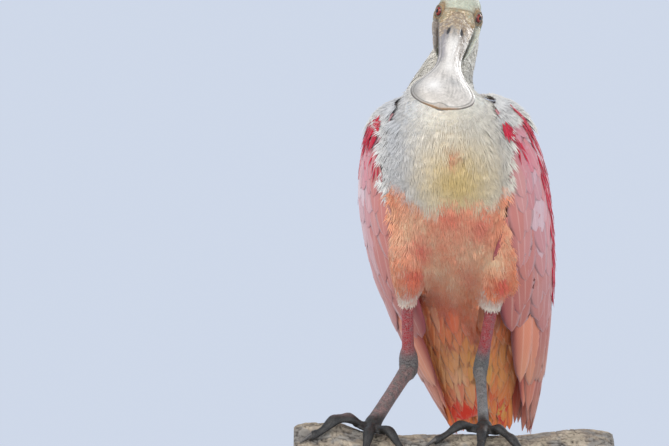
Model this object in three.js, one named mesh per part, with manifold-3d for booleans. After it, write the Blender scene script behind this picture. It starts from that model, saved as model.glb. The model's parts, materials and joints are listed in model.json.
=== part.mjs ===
// A life-size roseate spoonbill standing on a cut length of branch, which a plain display stand holds up.
// Millimetres, +Z up. The bird faces -Y and its left side is +X. The origin is the middle of the stand's underside.
import * as THREE from "three";
import { mergeVertices } from "three/addons/utils/BufferGeometryUtils.js";
import Module from "manifold-3d";

const wasm = await Module();
wasm.setup();

// Driving dimensions
const gap = 0.35; // left between pieces that touch
const base = { width: 300, depth: 250, height: 18, bevel: 4 };
const rod = { radius: 5, spacing: 150, visible: 88, socket: 8 };
const branch = { radius: 38, length: 280, yaw: 9, behindCentre: -22 };
// Swellings of the bark: place along, angle round, height and width
branch.knots = [
  [-103, 0.1, 12, 22],
  [-132, 0, 9, 18],
  [-66, 0.3, 2.5, 26],
  [-22, -0.4, 3.5, 26],
  [92, 0, 4, 24],
  [124, -0.3, 8, 24],
  [20, 2.4, 6, 34],
];
const trunkPitch = 50; // slope of the trunk's axis, in degrees above the horizontal
const trunkAnchor = { along: 120, y: 15, z: 211 }; // one point of that axis, above the branch's top
const headTilt = { pitch: 33.8, roll: 12.5, turn: 0.8 }; // degrees
const headPlace = new THREE.Vector3(7.2, -8, 372.5); // midpoint between the eyes
const billLength = 159;
const eyeBall = { radius: 6.6, side: 14.2, forward: 1, up: 2.5 };

const rad = THREE.MathUtils.degToRad;
const V = (x, y, z) => new THREE.Vector3(x, y, z);

// Solids

// A closed surface as a manifold-3d solid.
function solid(geometry, closeness = 1e-4) {
  const bare = geometry.index ? geometry.toNonIndexed() : geometry.clone();
  bare.deleteAttribute("normal");
  bare.deleteAttribute("uv");
  const merged = mergeVertices(bare, closeness);
  return new wasm.Manifold(
    new wasm.Mesh({
      numProp: 3,
      vertProperties: new Float32Array(merged.attributes.position.array),
      triVerts: new Uint32Array(merged.index.array),
    }),
  );
}

// A loft through closed rings of equal count. Each end is closed like a ladder, between the ring's
// first half and its second. The whole is turned to face out.
function loft(rings) {
  const sides = rings[0].length;
  const positions = rings.flat().flatMap((p) => [p.x, p.y, p.z]);
  const faces = [];
  for (let i = 0; i + 1 < rings.length; i++)
    for (let j = 0; j < sides; j++) {
      const a = i * sides + j;
      const b = i * sides + ((j + 1) % sides);
      faces.push(a, b, a + sides, b, b + sides, a + sides);
    }
  const last = (rings.length - 1) * sides;
  for (let j = 0; j + 1 < sides - 1 - j; j++) {
    const [a, b, c, d] = [j, j + 1, sides - 2 - j, sides - 1 - j];
    faces.push(b, a, d, last + a, last + b, last + d);
    if (b < c) faces.push(c, b, d, last + b, last + c, last + d);
  }
  const geometry = new THREE.BufferGeometry();
  geometry.setAttribute("position", new THREE.Float32BufferAttribute(positions, 3));
  geometry.setIndex(faces);
  const made = solid(geometry);
  if (made.volume() > 0) return made;
  for (let i = 0; i < faces.length; i += 3) [faces[i], faces[i + 1]] = [faces[i + 1], faces[i]];
  geometry.setIndex(faces);
  return solid(geometry);
}

const join = (...solids) => solids.reduce((a, b) => a.add(b));
const cut = (body, ...tools) => tools.reduce((a, b) => a.subtract(b), body);

// The largest body of a cut solid: slivers left by a cut are dropped.
function main(body) {
  return body.decompose().reduce((a, b) => (a.volume() > b.volume() ? a : b));
}

// A row of numbers at any place along rows sorted by their first number, on a smooth curve.
function rowAt(rows, at) {
  let i = 0;
  while (i < rows.length - 2 && at > rows[i + 1][0]) i++;
  const before = rows[Math.max(i - 1, 0)];
  const after = rows[Math.min(i + 2, rows.length - 1)];
  const [a, b] = [rows[i], rows[i + 1]];
  const span = b[0] - a[0];
  const u = THREE.MathUtils.clamp((at - a[0]) / span, 0, 1);
  return a.map((value, k) => {
    const slopeIn = ((b[k] - before[k]) / (b[0] - before[0])) * span;
    const slopeOut = ((after[k] - a[k]) / (after[0] - a[0])) * span;
    const rise = b[k] - value;
    return (
      value + u * (slopeIn + u * (3 * rise - 2 * slopeIn - slopeOut + u * (slopeIn + slopeOut - 2 * rise)))
    );
  });
}

const spread = (from, to, count) =>
  Array.from({ length: count }, (_, i) => from + ((to - from) * i) / (count - 1));

// A half-space, as a large box whose face passes through a point.
function halfSpace(point, normal, reach = 400) {
  const box = new THREE.BoxGeometry(reach, reach, reach);
  box.translate(0, 0, reach / 2);
  box.applyQuaternion(new THREE.Quaternion().setFromUnitVectors(V(0, 0, 1), normal.clone().normalize()));
  box.translate(point.x, point.y, point.z);
  return solid(box);
}

// A tube along points, each with a half-width across and a half-depth in the plane of bend.
function limb(points, halfWidths, halfDepths, across, sides, grow = 0) {
  const curve = new THREE.CatmullRomCurve3(points, false, "centripetal");
  const count = halfWidths.length;
  return loft(
    halfWidths.map((halfWidth, i) => {
      const u = i / (count - 1);
      const centre = curve.getPoint(u);
      const along = curve.getTangent(u);
      const depth = along.clone().cross(across).normalize();
      const side = depth.clone().cross(along).normalize();
      return spread(0, 2 * Math.PI, sides + 1)
        .slice(0, sides)
        .map((turn) =>
          centre
            .clone()
            .addScaledVector(side, (halfWidth + grow) * Math.cos(turn))
            .addScaledVector(depth, (halfDepths[i] + grow) * Math.sin(turn)),
        );
    }),
  );
}

// Trunk: an egg-shaped body from the breast to the end of the undertail coverts

const tailward = V(0, Math.cos(rad(trunkPitch)), -Math.sin(rad(trunkPitch)));
const backward = V(0, Math.sin(rad(trunkPitch)), Math.cos(rad(trunkPitch)));

// A place given along the trunk's axis, to the bird's left, and towards its back.
// The rear of the trunk bends slowly to the left.
function onTrunk(along, left, up) {
  const bend = 0.00007 * Math.max(along - 100, 0) ** 2;
  return V(left + bend, trunkAnchor.y, trunkAnchor.z)
    .addScaledVector(tailward, along - trunkAnchor.along)
    .addScaledVector(backward, up);
}

// along, half-width, rise to the back, drop to the belly
const trunkRows = [
  [4, 15, 5, 9],
  [9, 31, 11, 21],
  [18, 44, 17, 33],
  [32, 55, 29, 47],
  [52, 62, 43, 59],
  [76, 66, 52, 65],
  [108, 67, 58, 67],
  [148, 66, 55, 59],
  [190, 62.5, 46, 45],
  [232, 57, 33, 32],
  [278, 49, 19, 21],
  [320, 41.5, 10, 12.5],
  [354, 31, 3, 4],
];

function trunkSolid(grow = 0, sides = 20) {
  return loft(
    trunkRows.map(([along, halfWidth, up, down], i) => {
      const end = i === 0 ? -grow : i === trunkRows.length - 1 ? grow : 0;
      return spread(0, 2 * Math.PI, sides + 1)
        .slice(0, sides)
        .map((turn) => {
          const rise = Math.sin(turn);
          const height = (rise > 0 ? up : down) + grow;
          return onTrunk(along + end, (halfWidth + grow) * Math.cos(turn), height * rise);
        });
    }),
  );
}

// Neck: one fold of the S, from between the shoulders up to the back of the head

const neckPoints = [
  V(-2, -26, 236),
  V(-4, -40, 264),
  V(-6, -37, 292),
  V(-3, -20, 316),
  V(2, -3, 336),
  V(6, 9, 358),
  V(8, 8, 381),
];
// place along the neck, half-width, half-depth
const neckRows = [
  [0, 36, 28],
  [0.18, 38, 30],
  [0.36, 33.5, 26.5],
  [0.52, 26, 23],
  [0.68, 22.5, 21.5],
  [0.84, 21, 20],
  [1, 17, 16],
];

function neckSolid(grow = 0) {
  const rows = spread(0, 1, 10).map((at) => rowAt(neckRows, at));
  return limb(
    neckPoints,
    rows.map((row) => row[1]),
    rows.map((row) => row[2]),
    V(1, 0, 0),
    14,
    grow,
  );
}

// Head, in a frame of its own: the bill points to -Y, the crown to +Z, from the midpoint between the eyes

const headFrame = new THREE.Matrix4()
  .makeRotationFromEuler(
    new THREE.Euler(rad(headTilt.pitch), rad(headTilt.roll), rad(headTilt.turn), "ZXY"),
  )
  .setPosition(headPlace);
const onHead = (left, forward, up) => V(left, -forward, up).applyMatrix4(headFrame);

// Rings round the head's long axis: forward, half-width, rise to the top, drop to the underside, squareness
function headLoft(rows, sides, grow) {
  return loft(
    rows.map(([forward, halfWidth, up, down, square], i) => {
      const end = i === 0 ? -grow : i === rows.length - 1 ? grow : 0;
      return spread(0, 2 * Math.PI, sides + 1)
        .slice(0, sides)
        .map((turn) => {
          const [c, s] = [Math.cos(turn), Math.sin(turn)];
          const left = (halfWidth + grow) * Math.sign(c) * Math.abs(c) ** square;
          const rise = ((s > 0 ? up : down) + grow) * Math.sign(s) * Math.abs(s) ** square;
          return onHead(left, forward + end, rise);
        });
    }),
  );
}

const headRows = [
  [-39, 6, 6, 4, 1],
  [-35, 12.5, 12, 9, 1],
  [-26, 17.2, 16.4, 14.5, 1],
  [-14, 19.4, 18.8, 18, 1],
  [-3, 19.6, 18, 18.6, 0.94],
  [7, 18.6, 15, 16.6, 0.9],
  [16, 17.4, 11.6, 13.6, 0.88],
  [26, 15, 8.8, 10.4, 0.86],
];
// The bare cheeks and the loose skin of the throat, which runs forward between the halves of the lower bill
const throatRows = [
  [-22, 15, -2, 15, 1],
  [-12, 20.6, -1, 20, 0.9],
  [4, 22.6, -1.5, 20.5, 0.85],
  [20, 21.6, -3, 18.5, 0.82],
  [38, 19.4, -4, 15.4, 0.8],
  [55, 17.6, -4.6, 12.6, 0.8],
  [70, 15.4, -5, 10.6, 0.85],
  [84, 11, -5.4, 8.6, 0.95],
];

const headSolid = (grow = 0) => join(headLoft(headRows, 16, grow), headLoft(throatRows, 11, grow));

// Bill: two flat blades that narrow to a waist and widen to a round spoon
// forward, half-width, height of the culmen, height of the edge where the blades meet
const billStart = 16;
const billRows = [
  [0, 16.4, 11.4, 0.5],
  [0.1, 15.4, 9.6, 0],
  [0.22, 13.6, 7.4, -0.6],
  [0.35, 11.6, 5.4, -1],
  [0.46, 10.3, 4, -1.4],
  [0.56, 11.4, 3.2, -1.8],
  [0.65, 15.4, 2.8, -2.3],
  [0.74, 21.4, 2.5, -3],
  [0.81, 26, 2.2, -3.6],
  [0.87, 27.6, 1.8, -4.3],
  [0.93, 25, 0.9, -5.2],
  [0.975, 17, -0.6, -6.2],
  [1, 7, -2.2, -6.8],
];

// One blade of the bill: side is 1 for the upper one and -1 for the lower one.
function bladeSolid(side, grow = 0) {
  const thinner = side > 0 ? 1 : 0.66;
  const shorter = side > 0 ? 1 : 0.975;
  const steps = 4;
  return loft(
    billRows.map(([at, fullWidth, culmen, edge], i) => {
      const halfWidth = fullWidth * (side > 0 ? 1 : 0.95);
      const end = i === 0 ? -grow : i === billRows.length - 1 ? grow : 0;
      const forward = billStart + at * billLength * shorter + end;
      const rise = Math.max((culmen - edge) * thinner, 1.6);
      const seam = edge + (side * gap) / 2 - side * grow;
      const top = spread(-1, 1, 2 * steps + 1).map((u) => {
        const bulge = rise * Math.cos((u * Math.PI) / 2) ** 0.8;
        return onHead(u * (halfWidth + grow), forward, seam + side * (0.5 + bulge + 2 * grow));
      });
      const flat = [1, 0, -1].map((u) => onHead(u * (halfWidth + grow), forward, seam));
      return [...top, ...flat];
    }),
  );
}

// Eyes: round balls, most of each one in its socket
function eyeSolid(side, grow = 0) {
  const ball = new THREE.SphereGeometry(eyeBall.radius + grow, 10, 7);
  const place = onHead(side * eyeBall.side, eyeBall.forward, eyeBall.up);
  ball.translate(place.x, place.y, place.z);
  return solid(ball);
}

// Wings: each is folded along the trunk, and covers its side as a curved shell

// along, half-width of the outside, its rise to the back, its lowest and highest angle round the trunk, thickness
const covertRows = [
  [22, 59, 33, -14, 28, 5],
  [32, 66.5, 43, -27, 46, 11],
  [49, 74, 53, -34, 61, 16],
  [76, 81.5, 61, -42, 74, 20],
  [118, 86.5, 67, -53, 80, 23],
  [168, 84.5, 62, -53, 80, 20],
  [212, 79, 52, -48, 66, 13],
  [247, 69.5, 40, -38, 6, 3.5],
];
const quillRows = [
  [100, 79, 60, -26, 85, 7],
  [165, 81.5, 58, -40, 88, 9],
  [228, 75.5, 44.5, -46, 89, 9],
  [282, 64, 29, -48, 89, 8.5],
  [332, 50, 18, -42, 84, 7],
  [363, 39, 11.5, -34, 66, 4.5],
  [383, 31, 7.5, -16, 34, 2.4],
];
// The left wing hangs more loosely than the right: sideways for each millimetre along
const wingFlare = { left: { from: 130, by: 0.066 }, right: { from: 200, by: -0.02 } };

function shell(rows, side, grow) {
  const steps = 8;
  const { from, by } = side > 0 ? wingFlare.left : wingFlare.right;
  return loft(
    rows.map(([along, width, rise, low, high, thick], i) => {
      const halfWidth = width + by * Math.max(along - from, 0);
      const end = i === 0 ? -grow : i === rows.length - 1 ? grow : 0;
      const outer = [];
      const inner = [];
      for (const u of spread(-1, 1, steps + 1)) {
        const turn = rad(low + ((high - low) * (u + 1)) / 2);
        const depth = 1.4 + (thick - 1.4) * Math.sqrt(1 - u * u);
        const out = new THREE.Vector2(Math.cos(turn) / halfWidth, Math.sin(turn) / rise).normalize();
        const x = halfWidth * Math.cos(turn);
        const up = rise * Math.sin(turn);
        const stretch = 1 + (grow * 1.5 * Math.abs(u)) / thick;
        outer.push(onTrunk(along + end, side * (x + out.x * grow), up + out.y * grow * stretch));
        inner.push(
          onTrunk(
            along + end,
            side * (x - out.x * (depth + grow)),
            up - out.y * (depth + grow),
          ),
        );
      }
      return [...outer, ...inner.reverse()];
    }),
  );
}

function wingSolid(side) {
  const fromMiddle = halfSpace(V(side * gap, 0, 0), V(-side, 0, 0), 1200);
  return main(
    cut(
      join(shell(covertRows, side, 0), shell(quillRows, side, 0)),
      fromMiddle,
      trunkSolid(gap + 1.7, 14),
      neckSolid(gap),
      thighSolid(side, gap),
      tailSolid(gap),
    ),
  );
}

// Tail: twelve feathers closed over each other, as steps across a thin slab

// along, half-width, height above the trunk's axis
const tailRows = [
  [268, 26, 8.6],
  [330, 32, 5],
  [377, 34, 1.4],
];
const tailFeathers = 12;

function tailSolid(grow = 0) {
  const perFeather = 2;
  const columns = tailFeathers * perFeather;
  return loft(
    tailRows.map(([along, halfWidth, height], i) => {
      const last = i === tailRows.length - 1;
      const over = [];
      const under = [];
      for (let k = 0; k <= columns; k++) {
        const u = (2 * k) / columns - 1;
        const inFeather = (k % perFeather) / perFeather;
        const step = 1.1 * (grow > 0 ? 1 : u < 0 ? inFeather : 1 - inFeather);
        const roof = height - 5 * u * u;
        const tip = last ? 7 * (grow > 0 ? 0.5 : inFeather) - 6 * u * u : 0;
        const at = along + tip + (i === 0 ? -grow : last ? grow : 0);
        const x = u * (halfWidth + grow);
        over.push(onTrunk(at, x, roof + 1.3 + step + grow));
        under.push(onTrunk(at, x, roof - 1.3 - grow));
      }
      return [...over, ...under.reverse()];
    }),
  );
}

// Legs: side 1 is the bird's left leg, which is straight below it, and -1 its right one, which is set wide
// and turned out, so that its shin is broader from the front

const legs = {
  left: { knee: V(50, -16, 184), ankle: V(15.7, 80, 63), foot: V(27, 4, 6), broad: 1 },
  right: { knee: V(-38, -26, 190), ankle: V(-47.7, 62, 63.8), foot: V(-69.7, -14, 10.8), broad: 1.3 },
};
const legOf = (side) => (side > 0 ? legs.left : legs.right);

// Thigh: a cone of feathers round the upper shank, which ends in a loose puff
function thighSolid(side, grow = 0) {
  const { knee, ankle } = legOf(side);
  const points = [-0.2, 0, 0.25, 0.45, 0.6].map((at) =>
    knee
      .clone()
      .lerp(ankle, at)
      .add(V(-side * 9, 16, 8).multiplyScalar(Math.max(0.25 - at, 0) * 2)),
  );
  const across = [7, 16, 20, 20.5, 18.5, 16, 12.8, 9];
  return limb(points, across, across, V(1, 0, 0), 11, grow);
}

// Shank and shin as one limb, bent back at the ankle, from inside the thigh's feathers to the toes
function legSolid(side, grow = 0) {
  const { knee, ankle, foot, broad } = legOf(side);
  const bend = 0.13; // share of each bone over which the bend is rounded
  const points = [
    knee.clone().lerp(ankle, 0.5),
    knee.clone().lerp(ankle, 0.75),
    knee.clone().lerp(ankle, 1 - bend),
    ankle,
    ankle.clone().lerp(foot, bend),
    ankle.clone().lerp(foot, 0.5),
    ankle.clone().lerp(foot, 0.88),
    foot,
  ];
  const halfWidths = [5.5, 5.4, 5.3, 5.3, 5.8, 6.4, 6.7, 6.3, 5.5, 5, 4.8, 4.7, 4.8, 5.1, 5.7, 6];
  const halfDepths = [6.2, 6, 5.9, 6, 6.6, 8.6, 9.8, 9, 7.7, 7, 6.7, 6.6, 6.6, 6.6, 6.6, 5.6];
  const widths = halfWidths.map((width, i) => (i > 4 ? width * broad : width));
  return limb(points, widths, halfDepths, V(1, 0, 0), 9, grow);
}

// Feet: three toes over the front of the branch and one behind, on the branch's own round surface

const branchFront = V(Math.sin(rad(branch.yaw)), -Math.cos(rad(branch.yaw)), 0);
const branchAlong = V(Math.cos(rad(branch.yaw)), Math.sin(rad(branch.yaw)), 0);

// The bark's radius: slow swellings and a few ribs, worked out from the place along and round the branch
function barkRadius(along, turn) {
  const swell = 1.1 * Math.sin(along / 33 + 0.7) + 0.8 * Math.sin(along / 14 + 2 * turn);
  const ribs = 0.9 * Math.sin(5 * turn + along / 26) + 0.5 * Math.sin(9 * turn - along / 19);
  const knots = branch.knots.reduce((sum, [at, round, height, wide]) => {
    const away = Math.hypot(along - at, branch.radius * Math.sin(turn - round)) / wide;
    return sum + (Math.cos(turn - round) > 0 ? height * Math.exp(-away * away) : 0);
  }, 0);
  return branch.radius + 0.6 * (swell + ribs) + knots;
}

// A place on the branch: millimetres along it, forward round it from its top, and out from the bark
function onBranch(along, forward, out) {
  const turn = forward / branch.radius;
  const radius = barkRadius(along, turn) + out;
  return V(0, 0, -branch.radius)
    .addScaledVector(branchAlong, along)
    .addScaledVector(branchFront, radius * Math.sin(turn))
    .addScaledVector(V(0, 0, 1), radius * Math.cos(turn));
}

// For each toe its splay in degrees, length, radius at the root, number of joints and rise over the knuckles
const feet = {
  left: {
    inner: { splay: -60, reach: 52, radius: 4.5, joints: 2, arch: 5.5 },
    middle: { splay: -8, reach: 64, radius: 4.9, joints: 3, arch: 3.5 },
    outer: { splay: 40, reach: 56, radius: 4.6, joints: 3, arch: 5 },
    hind: { splay: 172, reach: 27, radius: 4, joints: 1, arch: 2 },
  },
  right: {
    inner: { splay: -38, reach: 50, radius: 4.6, joints: 2, arch: 4.5 },
    middle: { splay: 10, reach: 64, radius: 4.9, joints: 3, arch: 3.5 },
    outer: { splay: 70, reach: 58, radius: 4.7, joints: 3, arch: 5 },
    hind: { splay: 176, reach: 27, radius: 4, joints: 1, arch: 2 },
  },
};
const toesOf = (side) => (side > 0 ? feet.left : feet.right);
const clawLength = 10;

// Where a foot stands on the branch, from the leg's end
function footRoot(side) {
  const { foot } = legOf(side);
  return { along: foot.dot(branchAlong), forward: foot.dot(branchFront) };
}

// A toe's line: a place at a distance from its root, sideways from the line and out from the bark
function onToe(side, toe, distance, sideways, out) {
  const root = footRoot(side);
  const splay = rad(toe.splay * side);
  const along = root.along + distance * Math.sin(splay) + sideways * Math.cos(splay);
  const forward = root.forward + distance * Math.cos(splay) - sideways * Math.sin(splay);
  return onBranch(along, forward, out);
}

function toeRadius(toe, share) {
  const swelling = 0.1 * Math.cos(2 * Math.PI * toe.joints * share);
  return toe.radius * (1 - 0.34 * share + swelling * (share > 0.1 ? 1 : 0));
}

// The toe stands up over its knuckles, as it bends to hold the branch
function toeSolid(side, toe, grow = 0) {
  const sides = 6;
  return loft(
    spread(-0.04, 1, 2 * toe.joints + 3).map((share) => {
      const radius = toeRadius(toe, Math.max(share, 0)) * (share > 0.985 ? 0.62 : 1);
      const arch = toe.arch * Math.sin(Math.PI * Math.min(Math.max(share, 0), 1)) ** 2;
      return spread(0, 2 * Math.PI, sides + 1)
        .slice(0, sides)
        .map((turn) =>
          onToe(
            side,
            toe,
            share * toe.reach,
            (radius + grow) * Math.cos(turn) * side,
            arch + radius * 0.94 + 2 * gap + (radius + grow) * 0.94 * Math.sin(turn),
          ),
        );
    }),
  );
}

// Web: a low sheet of skin across the roots of the three front toes
function webSolid(side) {
  const { inner, middle, outer } = toesOf(side);
  return loft(
    [1, 11, 20].map((distance) => {
      const over = [];
      const under = [];
      for (const u of spread(-1, 1, 5)) {
        const edge = u < 0 ? inner : outer;
        const toe = { splay: middle.splay + (edge.splay - middle.splay) * Math.abs(u) };
        const reach = distance * (1 - 0.22 * Math.abs(Math.sin(Math.PI * u)));
        over.push(onToe(side, toe, reach, 0, 6.6 - distance * 0.05));
        under.push(onToe(side, toe, reach, 0, 3.4 - distance * 0.05));
      }
      return [...over, ...under.reverse()];
    }),
  );
}

function footSolid(side) {
  const root = footRoot(side);
  const ball = new THREE.SphereGeometry(7, 7, 5);
  const place = onBranch(root.along, root.forward, 8);
  ball.translate(place.x, place.y, place.z);
  return join(
    solid(ball),
    ...Object.values(toesOf(side)).map((toe) => toeSolid(side, toe)),
    webSolid(side),
  );
}

// Claw: a short curved cone out of the toe's end, its tip down to the bark
function clawSolid(side, toe) {
  const sides = 5;
  const root = toeRadius(toe, 1) * 0.62;
  return loft(
    spread(0, 1, 4).map((share) => {
      const radius = root * (1 - share) ** 0.8 + 0.35;
      const lift = (toeRadius(toe, 1) * 0.95 + gap) * (1 - share ** 1.6) + 0.9;
      return spread(0, 2 * Math.PI, sides + 1)
        .slice(0, sides)
        .map((turn) =>
          onToe(
            side,
            toe,
            toe.reach + gap + share * clawLength,
            radius * 0.8 * Math.cos(turn) * side,
            lift + radius * Math.sin(turn),
          ),
        );
    }),
  );
}

// Branch: a cut length with its bark's swellings, and a short stub of a twig

function logSolid(grow = 0) {
  const sides = 20;
  const half = branch.length / 2;
  return loft(
    spread(-half, half, 14).map((along) =>
      spread(0, 2 * Math.PI, sides + 1)
        .slice(0, sides)
        .map((turn) => onBranch(along, turn * branch.radius, grow)),
    ),
  );
}

function branchSolid() {
  const twig = limb(
    [onBranch(102, -64, -14), onBranch(107, -67, 4), onBranch(116, -69, 20)],
    [11, 9.5, 8.4, 7.6],
    [11, 9.5, 8.4, 7.6],
    branchAlong,
    8,
  );
  return cut(join(logSolid(), twig), ...[-1, 1].map((side) => rodSolid(side, gap)));
}

// Stand: a flat base and two rods that run up into sockets in the branch

const footLevel = base.height + rod.visible + 2 * branch.radius; // the branch's top, above the floor

function rodSolid(side, grow = 0) {
  const top = -2 * branch.radius + rod.socket + 3 + grow;
  const bottom = -footLevel + base.height - rod.socket - grow;
  const post = new THREE.CylinderGeometry(rod.radius + grow, rod.radius + grow, top - bottom, 12);
  post.rotateX(Math.PI / 2);
  const place = branchAlong.clone().multiplyScalar((side * rod.spacing) / 2);
  post.translate(place.x, place.y, (top + bottom) / 2);
  return solid(post);
}

function baseSolid() {
  const outline = new THREE.Shape();
  const corner = 22;
  const [w, d] = [base.width / 2 - base.bevel, base.depth / 2 - base.bevel];
  outline.moveTo(-w + corner, -d);
  for (const [x, y, from] of [
    [w, -d, -0.5],
    [w, d, 0],
    [-w, d, 0.5],
    [-w, -d, 1],
  ]) {
    const [cx, cy] = [x - Math.sign(x) * corner, y - Math.sign(y) * corner];
    outline.absarc(cx, cy, corner, from * Math.PI, (from + 0.5) * Math.PI, false);
  }
  const slab = new THREE.ExtrudeGeometry(outline, {
    depth: base.height - base.bevel,
    bevelThickness: base.bevel,
    bevelSize: base.bevel,
    bevelSegments: 1,
    curveSegments: 3,
  });
  const plate = solid(slab);
  const below = halfSpace(V(0, 0, 0), V(0, 0, -1), 900);
  const trimmed = cut(plate, below);
  const lifted = rodSolid(-1, gap).add(rodSolid(1, gap)).translate([0, branch.behindCentre, footLevel]);
  return cut(trimmed, lifted);
}

// Looks

const look = (color, roughness, metalness = 0) =>
  new THREE.MeshStandardMaterial({ color, roughness, metalness, flatShading: true });
const looks = {
  whitePlumage: look("#efe9dc", 0.85),
  pinkPlumage: look("#f0b9ae", 0.8),
  salmonPlumage: look("#e69877", 0.85),
  tailPlumage: look("#dd7a4c", 0.75),
  bareHead: look("#c3c2ab", 0.6),
  bill: look("#c9c7c1", 0.4),
  eye: look("#8f1f12", 0.08),
  pinkLeg: look("#b8606a", 0.55),
  greyLeg: look("#6f6b6c", 0.6),
  claw: look("#3b3735", 0.4),
  bark: look("#6d6258", 0.9),
  standBase: look("#2c2a29", 0.5),
  standRod: look("#b9bbbd", 0.3, 1),
};

function geometryOf(body) {
  const raw = body.getMesh();
  const geometry = new THREE.BufferGeometry();
  const positions = new Float32Array(raw.numVert * 3);
  for (let i = 0; i < raw.numVert; i++)
    positions.set(raw.vertProperties.subarray(i * raw.numProp, i * raw.numProp + 3), i * 3);
  geometry.setAttribute("position", new THREE.BufferAttribute(positions, 3));
  geometry.setIndex(new THREE.BufferAttribute(raw.triVerts, 1));
  return geometry;
}

// Corners closer than a thousandth are merged, and what that leaves of a sliver is dropped.
function mesh(name, body, material) {
  const geometry = geometryOf(main(solid(geometryOf(body), 1e-3)));
  geometry.computeVertexNormals();
  const made = new THREE.Mesh(geometry, material);
  made.name = name;
  return made;
}

// Assembly

const bird = new THREE.Group();
const sides = [
  ["left", 1],
  ["right", -1],
];

const trunk = trunkSolid();
const neck = main(cut(neckSolid(), trunkSolid(gap), headSolid(gap)));
const billTools = [bladeSolid(1, gap), bladeSolid(-1, gap)];
const head = main(cut(headSolid(), ...billTools, ...sides.map(([, side]) => eyeSolid(side, gap))));
bird.add(
  mesh("trunk", trunk, looks.salmonPlumage),
  mesh("neck", neck, looks.whitePlumage),
  mesh("head", head, looks.bareHead),
  mesh("bill_upper", bladeSolid(1), looks.bill),
  mesh("bill_lower", bladeSolid(-1), looks.bill),
  mesh("tail", main(cut(tailSolid(), trunkSolid(gap))), looks.tailPlumage),
);

const bark = logSolid(gap);
for (const [name, side] of sides) {
  const { knee, ankle, foot: end } = legOf(side);
  const leg = legSolid(side);
  const shankWay = ankle.clone().sub(knee).normalize();
  const shinWay = end.clone().sub(ankle).normalize();
  const across = shankWay.clone().add(shinWay).normalize();
  const below = ankle.clone().addScaledVector(across, gap / 2);
  const above = ankle.clone().addScaledVector(across, -gap / 2);
  const heel = end.clone().addScaledVector(shinWay, -7);
  const shank = main(cut(leg, halfSpace(above, across)));
  const shin = main(cut(leg, halfSpace(below, across.clone().negate()), halfSpace(heel, shinWay)));
  const footAbove = halfSpace(heel.clone().addScaledVector(shinWay, gap), shinWay.clone().negate());
  const legEnd = cut(leg, halfSpace(end, shinWay));
  const foot = main(cut(join(footSolid(side), legEnd), footAbove, bark));
  const thigh = cut(thighSolid(side), trunkSolid(gap), legSolid(side, gap));
  bird.add(
    mesh(`eye_${name}`, eyeSolid(side), looks.eye),
    mesh(`wing_${name}`, wingSolid(side), looks.pinkPlumage),
    mesh(`thigh_${name}`, main(thigh), looks.whitePlumage),
    mesh(`shank_${name}`, shank, looks.pinkLeg),
    mesh(`shin_${name}`, shin, looks.greyLeg),
    mesh(`foot_${name}`, foot, looks.greyLeg),
    ...Object.entries(toesOf(side)).map(([toeName, toe]) =>
      mesh(`claw_${name}_${toeName}`, main(cut(clawSolid(side, toe), bark)), looks.claw),
    ),
  );
}

const stand = new THREE.Group();
stand.add(
  mesh("perch", branchSolid(), looks.bark),
  ...sides.map(([name, side]) => mesh(`stand_rod_${name}`, rodSolid(side), looks.standRod)),
);
for (const group of [bird, stand]) group.position.set(0, branch.behindCentre, footLevel);

const part = new THREE.Group();
part.add(bird, stand, mesh("stand_base", baseSolid(), looks.standBase));

export default part;
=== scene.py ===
import json
import math
import bpy
import bmesh
import numpy as np
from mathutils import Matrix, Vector, noise
from mathutils.bvhtree import BVHTree

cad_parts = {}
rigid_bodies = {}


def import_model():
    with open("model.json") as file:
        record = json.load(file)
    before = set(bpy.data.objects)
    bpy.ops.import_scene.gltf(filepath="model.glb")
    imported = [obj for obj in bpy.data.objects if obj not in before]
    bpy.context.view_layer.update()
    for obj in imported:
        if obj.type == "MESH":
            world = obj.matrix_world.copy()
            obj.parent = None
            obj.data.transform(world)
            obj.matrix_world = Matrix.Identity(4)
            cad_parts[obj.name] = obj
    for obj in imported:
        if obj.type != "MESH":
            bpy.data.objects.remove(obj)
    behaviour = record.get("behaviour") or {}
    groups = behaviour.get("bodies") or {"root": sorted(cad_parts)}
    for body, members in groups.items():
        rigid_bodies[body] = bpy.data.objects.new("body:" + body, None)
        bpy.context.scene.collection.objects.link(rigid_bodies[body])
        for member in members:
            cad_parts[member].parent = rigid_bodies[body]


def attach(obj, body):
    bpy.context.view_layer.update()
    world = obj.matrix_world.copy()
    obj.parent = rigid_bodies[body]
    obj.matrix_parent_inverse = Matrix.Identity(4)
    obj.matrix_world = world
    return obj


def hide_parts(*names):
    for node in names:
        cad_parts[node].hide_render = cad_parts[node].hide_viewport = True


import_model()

bpy.context.view_layer.update()

# Shapes below are worked out in millimetres in the bird's own frame: it faces -Y, its left is +X, and z is 0
# at the top of the branch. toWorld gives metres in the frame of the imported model.
birdPlace = np.array([0, -22, 182.0])
mm = 0.001  # in metres
bothSides = ((1, "left"), (-1, "right"))  # of the bird


def toWorld(points):
    return (np.asarray(points, float) + birdPlace) * mm


def colour(code):  # a hex colour, or the name of one in plumage, as linear light
    code = plumage.get(code, code)
    parts = np.array([int(code[i : i + 2], 16) / 255 for i in (1, 3, 5)])
    return np.where(parts <= 0.04045, parts / 12.92, ((parts + 0.055) / 1.055) ** 2.4)


def blend(a, b, share):  # a and b are colours or their codes
    a, b = (colour(c) if isinstance(c, str) else c for c in (a, b))
    share = np.clip(np.asarray(share, float), 0, 1)[..., None]
    return a * (1 - share) + b * share


def ease(low, high, value):  # 0 below low, 1 above high, smooth between
    u = np.clip((np.asarray(value, float) - low) / (high - low), 0, 1)
    return u * u * (3 - 2 * u)


def bump(away):  # a soft round spot, from 1 at its middle to 0
    return np.exp(-np.square(away))


def unit(vectors):
    return vectors / np.maximum(np.linalg.norm(vectors, axis=-1, keepdims=True), 1e-12)


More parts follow.
